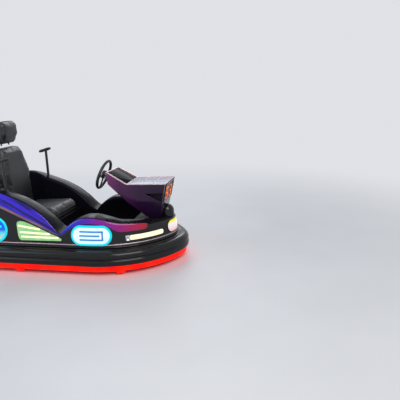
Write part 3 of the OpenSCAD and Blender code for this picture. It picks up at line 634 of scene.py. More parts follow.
def dress_both(piece: Piece, finish: Finish, slot: str) -> None:
    """Dresses a left piece of the car and its mirror copy.

    Args:
        piece: The left piece.
        finish: Their finish.
        slot: The record's material slot.
    """
    for one in (piece, mirrored(piece)):
        dress(one, finish, slot, "car")


def paint(node: str, finish: Finish) -> None:
    """Gives a CAD node its finish.

    Args:
        node: The CAD node.
        finish: Its finish.
    """
    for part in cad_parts[node].material_slots:
        part.material = finish.material()


def copy_of(node: str, name: str) -> Piece:
    """Copies a CAD node's mesh into a new object.

    Args:
        node: The CAD node.
        name: Name of the copy.

    Returns:
        The new object, with joined points and no materials.
    """
    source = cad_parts[node]
    made = bpy.data.objects.new(name, source.data.copy())
    bpy.context.scene.collection.objects.link(made)
    made.matrix_world = source.matrix_world
    settle(made)
    made.data.materials.clear()
    edit(made, bpy.ops.mesh.customdata_custom_splitnormals_clear, lambda: bpy.ops.mesh.remove_doubles(threshold=2e-5))
    return made


def follow(rows: Table, at: float, column: int) -> float:
    """Reads a column of a table on a smooth curve through its rows.

    Args:
        rows: The table, sorted by its first column.
        at: Value of the first column.
        column: The column to read.

    Returns:
        The column's value there.
    """
    at = min(max(at, rows[0][0]), rows[-1][0])
    i = max(k for k in range(len(rows) - 1) if rows[k][0] <= at)
    a, b = rows[i], rows[i + 1]
    before, after = rows[max(0, i - 1)], rows[min(len(rows) - 1, i + 2)]
    t = (at - a[0]) / (b[0] - a[0])
    slope_a = (b[column] - before[column]) / (b[0] - before[0]) * (b[0] - a[0])
    slope_b = (after[column] - a[column]) / (after[0] - a[0]) * (b[0] - a[0])
    return ((2 * t ** 3 - 3 * t ** 2 + 1) * a[column] + (t ** 3 - 2 * t ** 2 + t) * slope_a
            + (3 * t ** 2 - 2 * t ** 3) * b[column] + (t ** 3 - t ** 2) * slope_b)


# The body's plan and skin, as the frame has them, in metres

@dataclass(frozen=True)
class Plan:
    """Plan outline of four arcs and the leaning skin that stands on it.

    Args:
        half_l: Half length over the rubber ring.
        half_w: Half width over the rubber ring.
        nose_r: Radius of the nose.
        shoulder_r: Radius of the front shoulders.
        corner_r: Radius of the rear corners.
        tail_r: Radius of the tail.
        foot: Height of the skin's foot.
        inset: Distance from the ring's face to the skin's foot.
        lean: Inward lean for each unit of height.
        deck: Height of the front deck.
        dip: Place of the dip between the fenders.
        wave: Front fender from the dip: share of its length, heights of its joint line and of its back.
        fin: Rear fin: place behind the dip, heights of its joint line and of its back, share of the tail's depth.
    """

    half_l: float = 0.975
    half_w: float = 0.58
    nose_r: float = 0.32
    shoulder_r: float = 0.75
    corner_r: float = 0.42
    tail_r: float = 0.80
    foot: float = 0.19
    inset: float = 0.099
    lean: float = 0.12
    deck: float = 0.366
    dip: float = 0.012
    wave: Table = ((0, .305, .316), (.05, .330, .360), (.11, .358, .397), (.18, .383, .429), (.25, .398, .448),
                   (.32, .405, .455), (.40, .405, .455), (.49, .400, .444), (.59, .386, .426), (.68, .372, .409),
                   (.78, .366, .399), (.86, .366, .393), (.93, .366, .387), (.97, .366, .381), (1, .366, .369))
    fin: Table = ((0, .305, .316, 0), (.07, .313, .342, 0), (.14, .325, .383, 0), (.21, .341, .424, 0),
                  (.29, .359, .463, 0), (.37, .378, .497, 0), (.46, .398, .529, 0), (.63, .437, .576, 0),
                  (.80, .477, .611, 0), (1, .519, .646, 0), (1.17, .538, .665, .06), (1.34, .550, .679, .18),
                  (1.5, .556, .688, .33), (1.65, .556, .692, .46), (1.8, .547, .693, .6), (1.9, .536, .690, .7),
                  (2, .518, .676, .8), (2.12, .502, .648, .92), (2.3, .482, .585, 1), (2.47, .469, .520, 1),
                  (2.58, .463, .479, 1), (2.8, .456, .456, 1), (3, .455, .455, 1))

    @property
    def centres(self) -> tuple[float, float, float, float, float, float]:
        """Works out the middles of the arcs.

        Returns:
            Nose x, shoulder x and y, corner x and y, and tail x.
        """
        nose = self.half_l - self.nose_r
        shoulder_y = self.half_w - self.shoulder_r
        shoulder_x = nose - math.sqrt((self.shoulder_r - self.nose_r) ** 2 - shoulder_y ** 2)
        tail = self.tail_r - self.half_l
        corner_y = self.half_w - self.corner_r
        corner_x = tail - math.sqrt((self.tail_r - self.corner_r) ** 2 - corner_y ** 2)
        return nose, shoulder_x, shoulder_y, corner_x, corner_y, tail

    @property
    def turns(self) -> tuple[float, float]:
        """Angles at which the nose's arc ends and the tail's begins."""
        nose, shoulder_x, shoulder_y, corner_x, corner_y, tail = self.centres
        return math.atan2(-shoulder_y, nose - shoulder_x), math.atan2(corner_y, corner_x - tail)

    @property
    def wave_l(self) -> float:
        """Length of the front fender."""
        return self.half_l - 0.275 - self.dip

    def skin(self, z: float) -> float:
        """Inset of the skin at a height."""
        return self.inset + self.lean * (z - self.foot)

    def at(self, place: float, inset: float) -> tuple[float, float]:
        """Gives a point of the left half of the plan, moved in.

        Args:
            place: 0 at the nose, 1 at the shoulder, 2 at the straight side, 3 at the corner, 4 at the tail, 5 at its
                middle.
            inset: Distance in from the ring's face.

        Returns:
            Its x and y.
        """
        nose, sx, sy, cx, cy, tail = self.centres
        nose_turn, tail_turn = self.turns
        if place <= 1:
            a, mx, my, r = place * nose_turn, nose, 0.0, self.nose_r
        elif place <= 2:
            a, mx, my, r = nose_turn + (place - 1) * (math.pi / 2 - nose_turn), sx, sy, self.shoulder_r
        elif place <= 3:
            return sx + (cx - sx) * (place - 2), self.half_w - inset
        elif place <= 4:
            a, mx, my, r = math.pi / 2 + (place - 3) * (tail_turn - math.pi / 2), cx, cy, self.corner_r
        else:
            a, mx, my, r = tail_turn + (place - 4) * (math.pi - tail_turn), tail, 0.0, self.tail_r
        return mx + (r - inset) * math.cos(a), my + (r - inset) * math.sin(a)

    def place_at(self, x: float, inset: float) -> float:
        """Finds the place of the plan's left half at a distance along the car.

        Args:
            x: Distance along the car.
            inset: Distance in from the ring's face.

        Returns:
            The place, as `at` reads it.
        """
        low, high = 0.0, 5.0
        for _ in range(40):
            middle = (low + high) / 2
            if self.at(middle, inset)[0] > x:
                low = middle
            else:
                high = middle
        return low

    def walk(self, place: float, length: float, inset: float) -> float:
        """Moves along the plan by a length.

        Args:
            place: Where to start.
            length: How far towards the tail, or towards the nose if below 0.
            inset: Distance in from the ring's face.

        Returns:
            The place reached, which is below 0 past the nose's tip.
        """
        sx, cx = self.centres[1], self.centres[3]
        nose_turn, tail_turn = self.turns
        spans = [(self.nose_r - inset) * nose_turn, (self.shoulder_r - inset) * (math.pi / 2 - nose_turn), sx - cx,
                 (self.corner_r - inset) * (tail_turn - math.pi / 2), (self.tail_r - inset) * (math.pi - tail_turn)]
        whole = min(4, max(0, int(place)))
        total = sum(spans[:whole]) + (place - whole) * spans[whole] + length
        if total < 0:
            return -self.walk(0.0, -total, inset)
        for i, span in enumerate(spans):
            if total <= span:
                return i + total / span
            total -= span
        return 5 + total / spans[4]

    def on_skin(self, place: float, z: float, out: float, side: Side) -> Point:
        """Gives a point on or above the skin.

        Args:
            place: Place along the plan; below 0 or over 5 it goes on to the other side.
            z: Height.
            out: Distance out of the skin.
            side: The side of the car.

        Returns:
            The point.
        """
        turn = -1 if place < 0 or place > 5 else 1
        folded = -place if place < 0 else 10 - place if place > 5 else place
        x, y = self.at(folded, self.skin(z) - out)
        return x, side * turn * y, z

    def joint(self, place: float) -> float:
        """Reads the height of the joint line of wall and fender.

        Args:
            place: Place along the plan.

        Returns:
            The height.
        """
        if place >= 3:
            return follow(self.fin, place - 2, 1)
        x = self.at(place, self.skin(self.deck))[0]
        share = (x - self.dip) / self.wave_l
        if share > 1:
            return self.deck
        if share >= 0:
            return follow(self.wave, share, 1)
        return follow(self.fin, (self.dip - x) / (self.dip - self.centres[3]), 1)


PLAN = Plan()


# Sub-assemblies

@dataclass
class BumperRing:
    """Rubber ring round the car, with its seams, and the lit strip below it.

    Args:
        foot: Height of the ring's underside.
        height: Height of the ring.
        glow: Height of the lit strip.
        section: The ring's section: insets, and heights as shares of its height.
        strip: The strip's section: insets, and heights over its foot.
        tabs: Places of the strip's small housings along the car.
        tab_in: Inset of their middles.
        tab_size: Their size.
    """

    foot: float = 0.080
    height: float = 0.125
    glow: float = 0.040
    section: Table = ((.095, 0), (.028, 0), (.018, .02), (.010, .06), (.004, .12), (.0006, .22), (0, .34),
                      (.0015, .41), (.0075, .44), (.0105, .465), (.011, .485), (.0105, .505), (.0075, .53),
                      (.0015, .56), (.0006, .63), (.0025, .74), (.0065, .82), (.012, .88), (.020, .93), (.030, .97),
                      (.043, .995), (.058, 1), (.066, 1), (.069, .972), (.075, .972), (.078, 1), (.095, 1))
    strip: Table = ((.022, .040), (.0205, .026), (.0210, .012), (.0235, .003), (.028, -.002), (.034, -.004),
                    (.048, -.004), (.052, -.003), (.0555, .003), (.0562, .012), (.056, .040))
    tabs: tuple[float, ...] = (.515, -.335)
    tab_in: float = .040
    tab_size: Point = (.066, .030, .026)

    def build(self) -> None:
        """Makes the ring and the lit strip with its housings."""
        ring = spun("bumper_ring_rubber", [(i, self.foot + h * self.height) for i, h in self.section])
        smooth(ring, 50)
        dress(ring, RUBBER, "ring_rubber", "car", "bumper_ring")
        low = self.foot - self.glow
        strip = spun("glow_strip_lit", [(i, low + h) for i, h in self.strip])
        smooth(strip, 40)
        dress(strip, RED_GLOW, "glow_red", "car", "glow_strip")
        for number, x in enumerate(self.tabs, 1):
            place = PLAN.place_at(x, self.tab_in)
            (x0, y0), (x1, y1) = PLAN.at(place, self.tab_in), PLAN.at(place - .01, self.tab_in)
            tab = begin(bpy.ops.mesh.primitive_cube_add, f"glow_housing_left_{number}", size=1,
                        location=(x0, y0, low - .004), rotation=(0, 0, math.atan2(y1 - y0, x1 - x0)),
                        scale=self.tab_size)
            edit(tab, lambda: faces(lambda at, up: up.z < -.9), lambda: inset(.006, .003))
            apply(tab, "BEVEL", width=.006, segments=3)
            smooth(tab)
            dress_both(tab, RED_GLOW, "glow_red")


@dataclass
class BodyShell:
    """Gloss skin over the body's walls, its trim lines and the deck.

    Args:
        out: How far the gloss skin stands out of the walls.
        edge: Radius of its upper edge.
        low: Height of its foot.
        cells: Cells round the car.
        wall: Cells up the wall, before the edge's cells.
        turn: Cells round the edge.
        rim: Width of each cell that lies on the wall's top.
    """

    out: float = 0.001
    edge: float = 0.007
    low: float = 0.1905
    cells: int = 360
    wall: int = 6
    turn: int = 4
    rim: float = 0.008

    def build(self) -> None:
        """Makes the skin and the trim, and gives the walls their finish."""
        for node in ("side_wall_left", "side_wall_right", "tail_shell"):
            paint(node, BODY)
        paint("nose_shell", DECK)
        dome = copy_of("nose_dome", "nose_dome_cap")
        smooth(dome, 40)
        dress(dome, BODY, "body_black", "car", "nose_dome")
        self.skin()
        self.trim("trim_line_lower", .2335, .0080, .0035, TRIM)
        self.trim("foot_bead", .2115, .013, .0050, BODY)

    def skin(self) -> None:
        """Lays the gloss skin round the walls, rounded at its upper edge."""
        rows = self.wall + self.turn + 2

        def place(u: float, v: float) -> Point:
            """Gives a point of the skin.

            Args:
                u: Share of the way round the car.
                v: Share of the way up.

            Returns:
                The point.
            """
            whole = u * 10
            at, side = (whole, Side.LEFT) if whole <= 5 else (10 - whole, Side.RIGHT)
            top = PLAN.joint(at) - .0006
            k = v * rows
            if k <= self.wall:
                return PLAN.on_skin(at, self.low + (top - self.edge - self.low) * k / self.wall, self.out, side)
            a = min(1.0, (k - self.wall) / self.turn) * math.pi / 2
            z = top - self.edge + self.edge * math.sin(a)
            inward = self.edge * (1 - math.cos(a)) + max(0.0, k - self.wall - self.turn) * self.rim
            return PLAN.on_skin(at, z, self.out - inward, side)

        skin = surface("body_gloss_skin", self.cells, rows, place, join=True)
        smooth(skin, 50)
        dress(skin, BODY, "body_black", "car")

    def trim(self, name: str, z: float, height: float, proud: float, finish: Finish) -> None:
        """Runs a slim trim line round the body.

        Args:
            name: Name of the piece.
            z: Height of its middle.
            height: Its height.
            proud: How far it stands out of the skin.
            finish: Its finish.
        """
        inward = PLAN.skin(z)
        shape = ((-.0005, -.5), (.6, -.5), (.9, -.38), (1, -.2), (1, .2), (.9, .38), (.6, .5), (-.0005, .5))
        line = spun(name, [(inward - self.out - o * proud, z + h * height) for o, h in shape])
        smooth(line, 40)
        dress(line, finish, "body_black", "car")


@dataclass
class Fender:
    """Front wave or rear fin, with a rounded back.

    Args:
        cockpit: Half width of the cockpit.
        thickness: Thickness of the front fender where the plan narrows.
        neck: Least distance of its inner face from the middle.
        rounding: Radius of its back.
        arch: Rise of its back's middle.
        rear_inset: Inset of the tail wall's inner face.
        out: How far the fenders' skins stand out of the walls.
        gap: Their height over the joint line.
        fin_end: Place behind the dip at which the fin runs out.
        band: Width of the edge band.
        band_out: How far the band stands out.
        flash_x: Where the wave's flank begins.
        flash_l: Its length.
        flash_h: Its height.
    """

    cockpit: float = 0.290
    thickness: float = 0.140
    neck: float = 0.124
    rounding: float = 0.026
    arch: float = 0.006
    rear_inset: float = 0.178
    out: float = 0.0012
    gap: float = 0.0004
    fin_end: float = 2.58
    band: float = 0.022
    band_out: float = 0.0025
    flash_x: float = 0.40
    flash_l: float = 0.295
    flash_h: float = 0.036

    def section(self, outer: Callable[[float], float], inner: float, low: float,
                top: float) -> list[tuple[float, float]]:
        """Gives a fender's section as evenly spread points.

        Args:
            outer: Gives the outer face's inset at a height.
            inner: Inset of the inner face.
            low: Height of the joint line.
            top: Height of the back.

        Returns:
            Points as inset and height, the first also at the end.
        """
        r = min(self.rounding, (top - low) * .45)
        side = [(outer(low + (top - r - low) * k / 5), low + (top - r - low) * k / 5) for k in range(6)]
        out = [(outer(top) + r - r * math.cos(a), top - r + r * math.sin(a))
               for a in (math.radians(15 * k) for k in range(1, 7))]
        rise = self.arch * r / self.rounding
        crown = [(inner - r - (inner - r - outer(top) - r) * (1 - t), top + rise * math.sin(math.pi * t))
                 for t in (.25, .5, .75)]
        back = [(inner - r - r * math.cos(a), top - r + r * math.sin(a))
                for a in (math.radians(90 + 15 * k) for k in range(0, 7))]
        return side + out + crown + back + [(inner, low + (top - r - low) * .5), (inner, low)]

    def front(self) -> None:
        """Makes the front fender of the left side and its mirror copy."""
        def rows(u: float) -> list[Point]:
            """Gives the fender's section.

            Args:
                u: Share of the fender's length.

            Returns:
                The section's points.
            """
            x = PLAN.dip + PLAN.wave_l * u
            low, top = follow(PLAN.wave, u, 1), follow(PLAN.wave, u, 2)

            def half(z: float) -> float:
                """Gives the half width over the fender at a height."""
                inward = PLAN.skin(z) - self.out
                return PLAN.at(PLAN.place_at(x, inward), inward)[1]

            inner = max(min(self.cockpit, half(low) - self.thickness), self.neck)
            return [(x, -s, z) for s, z in self.section(lambda z: -half(z), -inner, low + self.gap, top)]

        # The wave's finish is blue and violet paint, with painted reflection of coloured lamp light as magenta and red
        # towards the nose.
        self.sweep("front_fender_skin_left", rows, 72, WAVE_PAINT_AND_REFLECTION, "front_fender_{}")

    def rear(self) -> None:
        """Makes the rear fin of the left side and its mirror copy."""
        def rows(u: float) -> list[Point]:
            """Gives the fin's section.

            Args:
                u: Share of the fin's length.

            Returns:
                The section's points.
            """
            at = self.fin_end * u
            low, top, share = (follow(PLAN.fin, at, k) for k in (1, 2, 3))
            inner = (PLAN.half_w - self.cockpit) * (1 - share) + self.rear_inset * share
            section = self.section(lambda z: PLAN.skin(z) - self.out, inner, low + self.gap, max(top, low + .012))
            if at <= 1:
                return [(PLAN.dip + at * (PLAN.centres[3] - PLAN.dip), PLAN.half_w - s, z) for s, z in section]
            return [(*PLAN.at(at + 2, s), z) for s, z in section]

        self.sweep("rear_fin_skin_left", rows, 110, FIN, "rear_fender_{}")

    def sweep(self, name: str, rows: Callable[[float], list[Point]], cells: int, finish: Finish, node: str) -> None:
        """Lays a grid along the fender, closes it and dresses it.

        Args:
            name: Name of the piece.
            rows: Gives the section's points at a share of the length.
            cells: Cells along the fender.
            finish: Finish of its outer face; its top and inner face are black.
            node: The CAD node that it stands for, with a place for the side.
        """
        known: dict[float, list[Point]] = {}

        def place(u: float, v: float) -> Point:
            """Gives a point of the fender.

            Args:
                u: Share of the length.
                v: Share of the way round the section.

            Returns:
                The point.
            """
            key = round(u, 5)
            if key not in known:
                known[key] = rows(u)
            loop = known[key] + known[key][:1]
            return loop[round(v * (len(loop) - 1))]

        count = len(rows(.5))
        fender = surface(name, cells, count, place, join=True, fill=True, second=lambda v: 8 < v * count < count - 1)
        smooth(fender, 45)
        kept = [1 if len(face.vertices) > 4 else face.material_index for face in fender.data.polygons]
        for piece, word in ((fender, "left"), (mirrored(fender), "right")):
            dress(piece, finish, "fender_blue", "car", node.format(word))
            piece.data.materials.append(INNER.material())
            for face, index in zip(piece.data.polygons, kept):
                face.material_index = index

    def edge(self) -> None:
        """Runs the mauve edge band along the fin's foot, left and right."""
        loop = ((0, 0), (.9, .04), (1, .25), (1, .75), (.9, .96), (0, 1), (0, 0))

        def place(u: float, v: float) -> Point:
            """Gives a point of the band.

            Args:
                u: Share of the length.
                v: Share of the way round the band's section.

            Returns:
                The point.
            """
            at = .02 + 2.3 * u
            width = self.band * min(1.0, 6 * u + .15) * min(1.0, 5 * (1 - u) + .2)
            out, up = loop[round(v * (len(loop) - 1))]
            z = follow(PLAN.fin, at, 1) + up * width
            proud = self.out + out * self.band_out
            if at <= 1:
                return PLAN.dip + at * (PLAN.centres[3] - PLAN.dip), PLAN.half_w - PLAN.skin(z) + proud, z
            return PLAN.on_skin(at + 2, z, proud, Side.LEFT)

        band = surface("fin_edge_left", 120, len(loop) - 1, place, join=True, fill=True)
        smooth(band, 40)
        dress_both(band, EDGE, "fender_blue")

    def flash(self) -> None:
        """Lays the wave's coloured flank over the nose shell below the wave's front end, left and right."""
        def place(u: float, v: float) -> Point:
            """Gives a point of the flank.

            Args:
                u: Share of its length.
                v: Share of the way down.

            Returns:
                The point.
            """
            x = self.flash_x + self.flash_l * u
            top = follow(PLAN.wave, (x - PLAN.dip) / PLAN.wave_l, 1) + .0030
            depth = self.flash_h * math.sin(math.pi / 2 * min(1.0, 2.6 * u)) * min(1.0, 9 * (1 - u) + .55)
            z = top - depth * v
            inward = PLAN.skin(z) - .0017 - .0012 * math.sin(math.pi * v)
            return x, PLAN.at(PLAN.place_at(x, inward), inward)[1], z

        flank = surface("wave_flank_left", 48, 8, place)
        apply(flank, "SOLIDIFY", thickness=.0015, offset=-1)
        smooth(flank, 40)
        # The flank takes the wave's finish, whose magenta and red here are painted reflection of coloured lamp light.
        dress_both(flank, WAVE_PAINT_AND_REFLECTION, "fender_blue")

    def build(self) -> None:
        """Makes the four fenders with their edge bands."""
        self.front()
        self.rear()
        self.edge()
        self.flash()


def pill(name: str, length: float, height: float) -> Piece:
    """Models a flat blank with round ends from a disc whose halves are moved apart.

    Args:
        name: Name of the piece.
        length: Its length.
        height: Its height.

    Returns:
        The blank, round its own middle.
    """
    blank = begin(bpy.ops.mesh.primitive_circle_add, name, vertices=48, radius=min(length, height) / 2,
                  fill_type="NGON", rotation=(0, 0, math.radians(3.75)))
    apart = abs(length - height) / 2
    way = (apart, 0, 0) if length > height else (0, apart, 0)
    edit(blank, lambda: points(lambda at: at.x * way[0] + at.y * way[1] > 0), shift(*way),
         lambda: points(lambda at: at.x * way[0] + at.y * way[1] < 0), shift(*(-v for v in way)))
    return blank


def cornered(name: str, corners: Table) -> Piece:
    """Models a flat blank with corners from a disc whose points are moved.

    Args:
        name: Name of the piece.
        corners: Its corners round its middle.

    Returns:
        The blank.
    """
    blank = begin(bpy.ops.mesh.primitive_circle_add, name, vertices=len(corners), radius=.05, fill_type="NGON")
    turn = sorted(blank.data.vertices, key=lambda point: math.atan2(point.co.y, point.co.x))
    for point, (x, y) in zip(turn, sorted(corners, key=lambda corner: math.atan2(corner[1], corner[0]))):
        point.co = (x, y, 0)
    return blank


@dataclass
class Lamp:
    """One lamp on the skin: a bezel, a crowned lens and what shines in it.

    Args:
        name: Name of the lamp.
        node: The CAD node of its lens.
        slot: The record's slot of its lens.
        x: Distance of its middle along the car.
        z: Height of its middle.
        size: Its length and height.
        lens: Finish of the lens.
        rim: Finish of the bezel.
        rim_w: Width of the bezel.
        crown: How far the lens stands out at its middle.
        corners: Its corners round the middle, where it isn't a bar with round ends.
        paired: Whether it has a mirror copy.
        feet: Heights of the feet of bezel, lens and bars over the skin.
        lip: Insets of the bezel's rolled lip, as shares of its width, and their heights.
        cover: Insets of the lens's crown, as shares of its reach and its rise.
        ridge: Insets of a bar's back, as shares of its radius and its rise.
    """

    name: str
    node: str
    slot: str
    x: float
    z: float
    size: tuple[float, float]
    lens: Finish
    rim: Finish
    rim_w: float = 0.010
    crown: float = 0.007
    corners: Table = ()
    paired: bool = True
    feet: Point = (.001, .0014, .004)
    lip: Table = ((.08, .0036), (.17, .0018), (.25, .0006), (.30, -.0010), (.20, -.0048))
    cover: Table = ((.06, .38), (.12, .30), (.20, .20), (.26, .12))
    ridge: Table = ((.10, .45), (.20, .30), (.30, .25))

    def point(self, along: float, up: float, out: float) -> Point:
        """Gives a point of the lamp on the left side.

        Args:
            along: Distance towards the nose from the lamp's middle.
            up: Height above the middle.
            out: Distance out of the skin.

        Returns:
            The point.
        """
        inward = PLAN.skin(self.z)
        start = PLAN.place_at(self.x, inward) if self.x < PLAN.half_l - inward else 0.0
        return PLAN.on_skin(PLAN.walk(start, -along, inward), self.z + up, out, Side.LEFT)

    def lay(self, piece: Piece, finish: Finish, along: float = 0.0, up: float = 0.0, tilt: float = 0.0,
            nodes: bool = False) -> None:
        """Cuts a flat piece in slices, lays it on the skin and dresses it, with its mirror copy if the lamp has one.

        Args:
            piece: The piece, flat, with its height above the skin upwards.
            finish: Its finish.
            along: Distance of its middle towards the nose from the lamp's middle.
            up: Height of its middle above the lamp's middle.
            tilt: Its slope, up towards the nose, in degrees.
            nodes: Whether it stands for the lamp's CAD node.
        """
        half = max(abs(vertex.co.x) for vertex in piece.data.vertices)
        edit(piece, lambda: slices(half))
        c, s = math.cos(math.radians(tilt)), math.sin(math.radians(tilt))
        for vertex in piece.data.vertices:
            x, y, z = vertex.co
            vertex.co = self.point(along + x * c - y * s, up + x * s + y * c, z)
        edit(piece, bpy.ops.mesh.flip_normals)
        smooth(piece, 60)
        sides = (("left", piece), ("right", mirrored(piece))) if self.paired else (("", piece),)
        for word, one in sides:
            stands_for = [self.node.format(word)] if nodes and ("{}" in self.node or word != "right") else []
            dress(one, finish, self.slot, "car", *stands_for)

    def blank(self, part: str) -> Piece:
        """Makes the flat blank of the bezel or the lens in the lamp's outline.

        Args:
            part: Which part it is for.

        Returns:
            The blank.
        """
        name = f"{self.name}_{part}_{'left' if self.paired else 'middle'}"
        return cornered(name, self.corners) if self.corners else pill(name, *self.size)

    def build(self) -> None:
        """Makes the bezel as a dish with a rolled lip, and the lens as a crowned cover in it."""
        dish = self.blank("bezel")
        edit(dish, shift(0, 0, self.feet[0]), *insets(self.lip, self.rim_w))
        self.lay(dish, self.rim)
        lens = self.blank("lens")
        sunk = .5 * self.rim_w
        edit(lens, shift(0, 0, self.feet[1]), lambda: bpy.ops.mesh.select_mode(type="FACE"), lambda: inset(sunk),
             lambda: bpy.ops.mesh.select_all(action="INVERT"), lambda: bpy.ops.mesh.delete(type="FACE"), everything,
             *insets(self.cover, min(self.size) / 2 - sunk, self.crown - self.feet[1]))
        self.lay(lens, self.lens, nodes=True)

    def bar(self, name: str, along: float, up: float, length: float, height: float, finish: Finish,
            proud: float = .010, tilt: float = 0.0) -> None:
        """Adds a light bar with a rounded back that lies on the lens.

        Args:
            name: Name of the piece.
            along: Distance of its middle towards the nose from the lamp's middle.
            up: Height of its middle above the lamp's middle.
            length: Its length.
            height: Its height.
            finish: Its finish.
            proud: How far it stands out of the skin at its ridge.
            tilt: Its slope, up towards the nose, in degrees.
        """
        bar = pill(f"{self.name}_{name}_left", length, height)
        foot = self.feet[2]
        edit(bar, shift(0, 0, foot), *insets(self.ridge, min(length, height) / 2, proud - foot))
        self.lay(bar, finish, along, up, tilt)


@dataclass
class Lamps:
    """All the lamps of the car.

    Args:
        dip: Place of the dip between the fenders.
        oval_bars: Place along the oval lamp, and length, of each bar.
        outline: Corners of the triangular lamp, from the dip and the floor.
        bars: Middle, length and slope of each bar in it.
        spots: Number of spots round the round lamp's hub.
        spot_r: Their distance from it.
        plate: Length and height of the corner lamp's end plate.
        plate_lip: Insets of its rim, and their heights.
        upper: Corners of the small upper lamp.
        upper_x: Place along the car from which they count.
    """

    dip: float = PLAN.dip
    oval_bars: Table = ((.004, .200), (-.012, .172), (.004, .200))
    outline: Table = ((.018, .268), (.014, .284), (-.022, .305), (-.084, .327), (-.173, .365), (-.262, .402),
                      (-.310, .418), (-.345, .423), (-.372, .419), (-.386, .404), (-.389, .385), (-.378, .290),
                      (-.366, .263), (-.346, .251), (.006, .255))
    bars: Table = ((-.272, .365, .200, -8), (-.222, .320, .268, -2.2), (-.180, .287, .332, -.4))
    spots: int = 6
    spot_r: float = .055
    plate: tuple[float, float] = (.034, .046)
    plate_lip: Table = ((.0015, .0075), (.0020, .0010), (.0060, 0), (.0010, -.0012))
    upper: Table = ((.171, .488), (.154, .528), (.082, .534), (.074, .504), (.086, .496))
    upper_x: float = -.8108

    def build(self) -> None:
        """Makes every lamp on both sides."""
        self.oval()
        self.triangle()
        self.wheel()
        self.front()
        self.rear()

    def oval(self) -> None:
        """Makes the oval lamp with its three bars."""
        lamp = Lamp("oval_lamp", "lamp_oval_{}", "lens_cyan", self.dip + .262, .312, (.340, .166), WHITE_GLOW,
                    CYAN_GLOW, rim_w=.021, crown=.009)
        lamp.build()
        for k, (along, length) in enumerate(self.oval_bars):
            lamp.bar(f"bar_{k + 1}", along, (k - 1) * .033, length, .015, BAR_GLOW, .0135)
        for k in (-1, 1):
            lamp.bar(f"bracket_{k + 2}", .094, k * .0165, .015, .040, BAR_GLOW, .0130)

    def triangle(self) -> None:
        """Makes the triangular lamp with its three bars that close up towards its tip."""
        x, z = self.dip - .262, .326
        lamp = Lamp("triangle_lamp", "lamp_triangle_{}", "lens_green", x, z, (.37, .034), GREEN_GLOW, BODY, rim_w=.008,
                    crown=.005, corners=tuple((self.dip + a - x, b - z) for a, b in self.outline))
        lamp.build()
        for k, (a, b, length, tilt) in enumerate(self.bars):
            lamp.bar(f"bar_{k + 1}", self.dip + a - x, b - z, length, .017, WARM_GLOW, .010, tilt)

    def wheel(self) -> None:
        """Makes the round lamp with its hub and spots."""
        lamp = Lamp("round_lamp", "lamp_round_{}", "lens_cyan", -.562, .338, (.212, .212), BLUE_GLOW, CYAN_GLOW,
                    rim_w=.022, crown=.008)
        lamp.build()
        lamp.bar("hub", 0, 0, .056, .056, BLUE_GLOW, .016)
        for k in range(self.spots):
            a = math.radians(360 // self.spots * k + 30)
            lamp.bar(f"spot_{k + 1}", self.spot_r * math.cos(a), self.spot_r * math.sin(a), .024, .024, CYAN_GLOW, .013)

    def front(self) -> None:
        """Makes the corner lamps with their end plates and the lamp in the nose's middle."""
        corner = Lamp("corner_lamp", "lamp_corner_{}", "lens_white", .694, .282, (.326, .050), WARM_GLOW, BODY,
                      rim_w=.006, crown=.008)
        corner.build()
        x, y = (size / 2 for size in self.plate)
        plate = cornered("corner_lamp_end_plate_left", ((-x, -y), (x, -y), (x, y), (-x, y)))
        edit(plate, shift(0, 0, .004), *insets(self.plate_lip))
        corner.lay(plate, PLATE_SILVER, -.169, -.001)
        for k in range(5):
            corner.bar(f"facet_{k + 1}", -.104 + .057 * k, 0, .048, .030, WARM_GLOW, .0115)
        Lamp("front_lamp", "lamp_front_centre", "lens_white", PLAN.half_l, .298, (.286, .118), FRONT_GLOW, BODY,
             rim_w=.010, crown=.008, paired=False).build()

    def rear(self) -> None:
        """Makes the small upper lamps beside the headrest and the tail lamps."""
        x, z = -.688, .511
        Lamp("upper_lamp", "lamps_rear_upper", "lens_white", x, z, (.09, .026), WHITE_GLOW, BODY, rim_w=.004,
             crown=.006, corners=tuple((self.upper_x + a - x, b - z) for a, b in self.upper)).build()
        level = PLAN.skin(.33)
        x = PLAN.at(PLAN.walk(5.0, -.193, level), level)[0]
        tail = Lamp("tail_lamp", "lamps_tail", "lens_red", x, .330, (.150, .062), TAIL_GLOW, BODY, rim_w=.006)
        tail.build()
        for k in range(3):
            tail.bar(f"rib_{k + 1}", 0, (k - 1) * .015, .118 - .024 * abs(k - 1), .007, RED_GLOW, .0100)


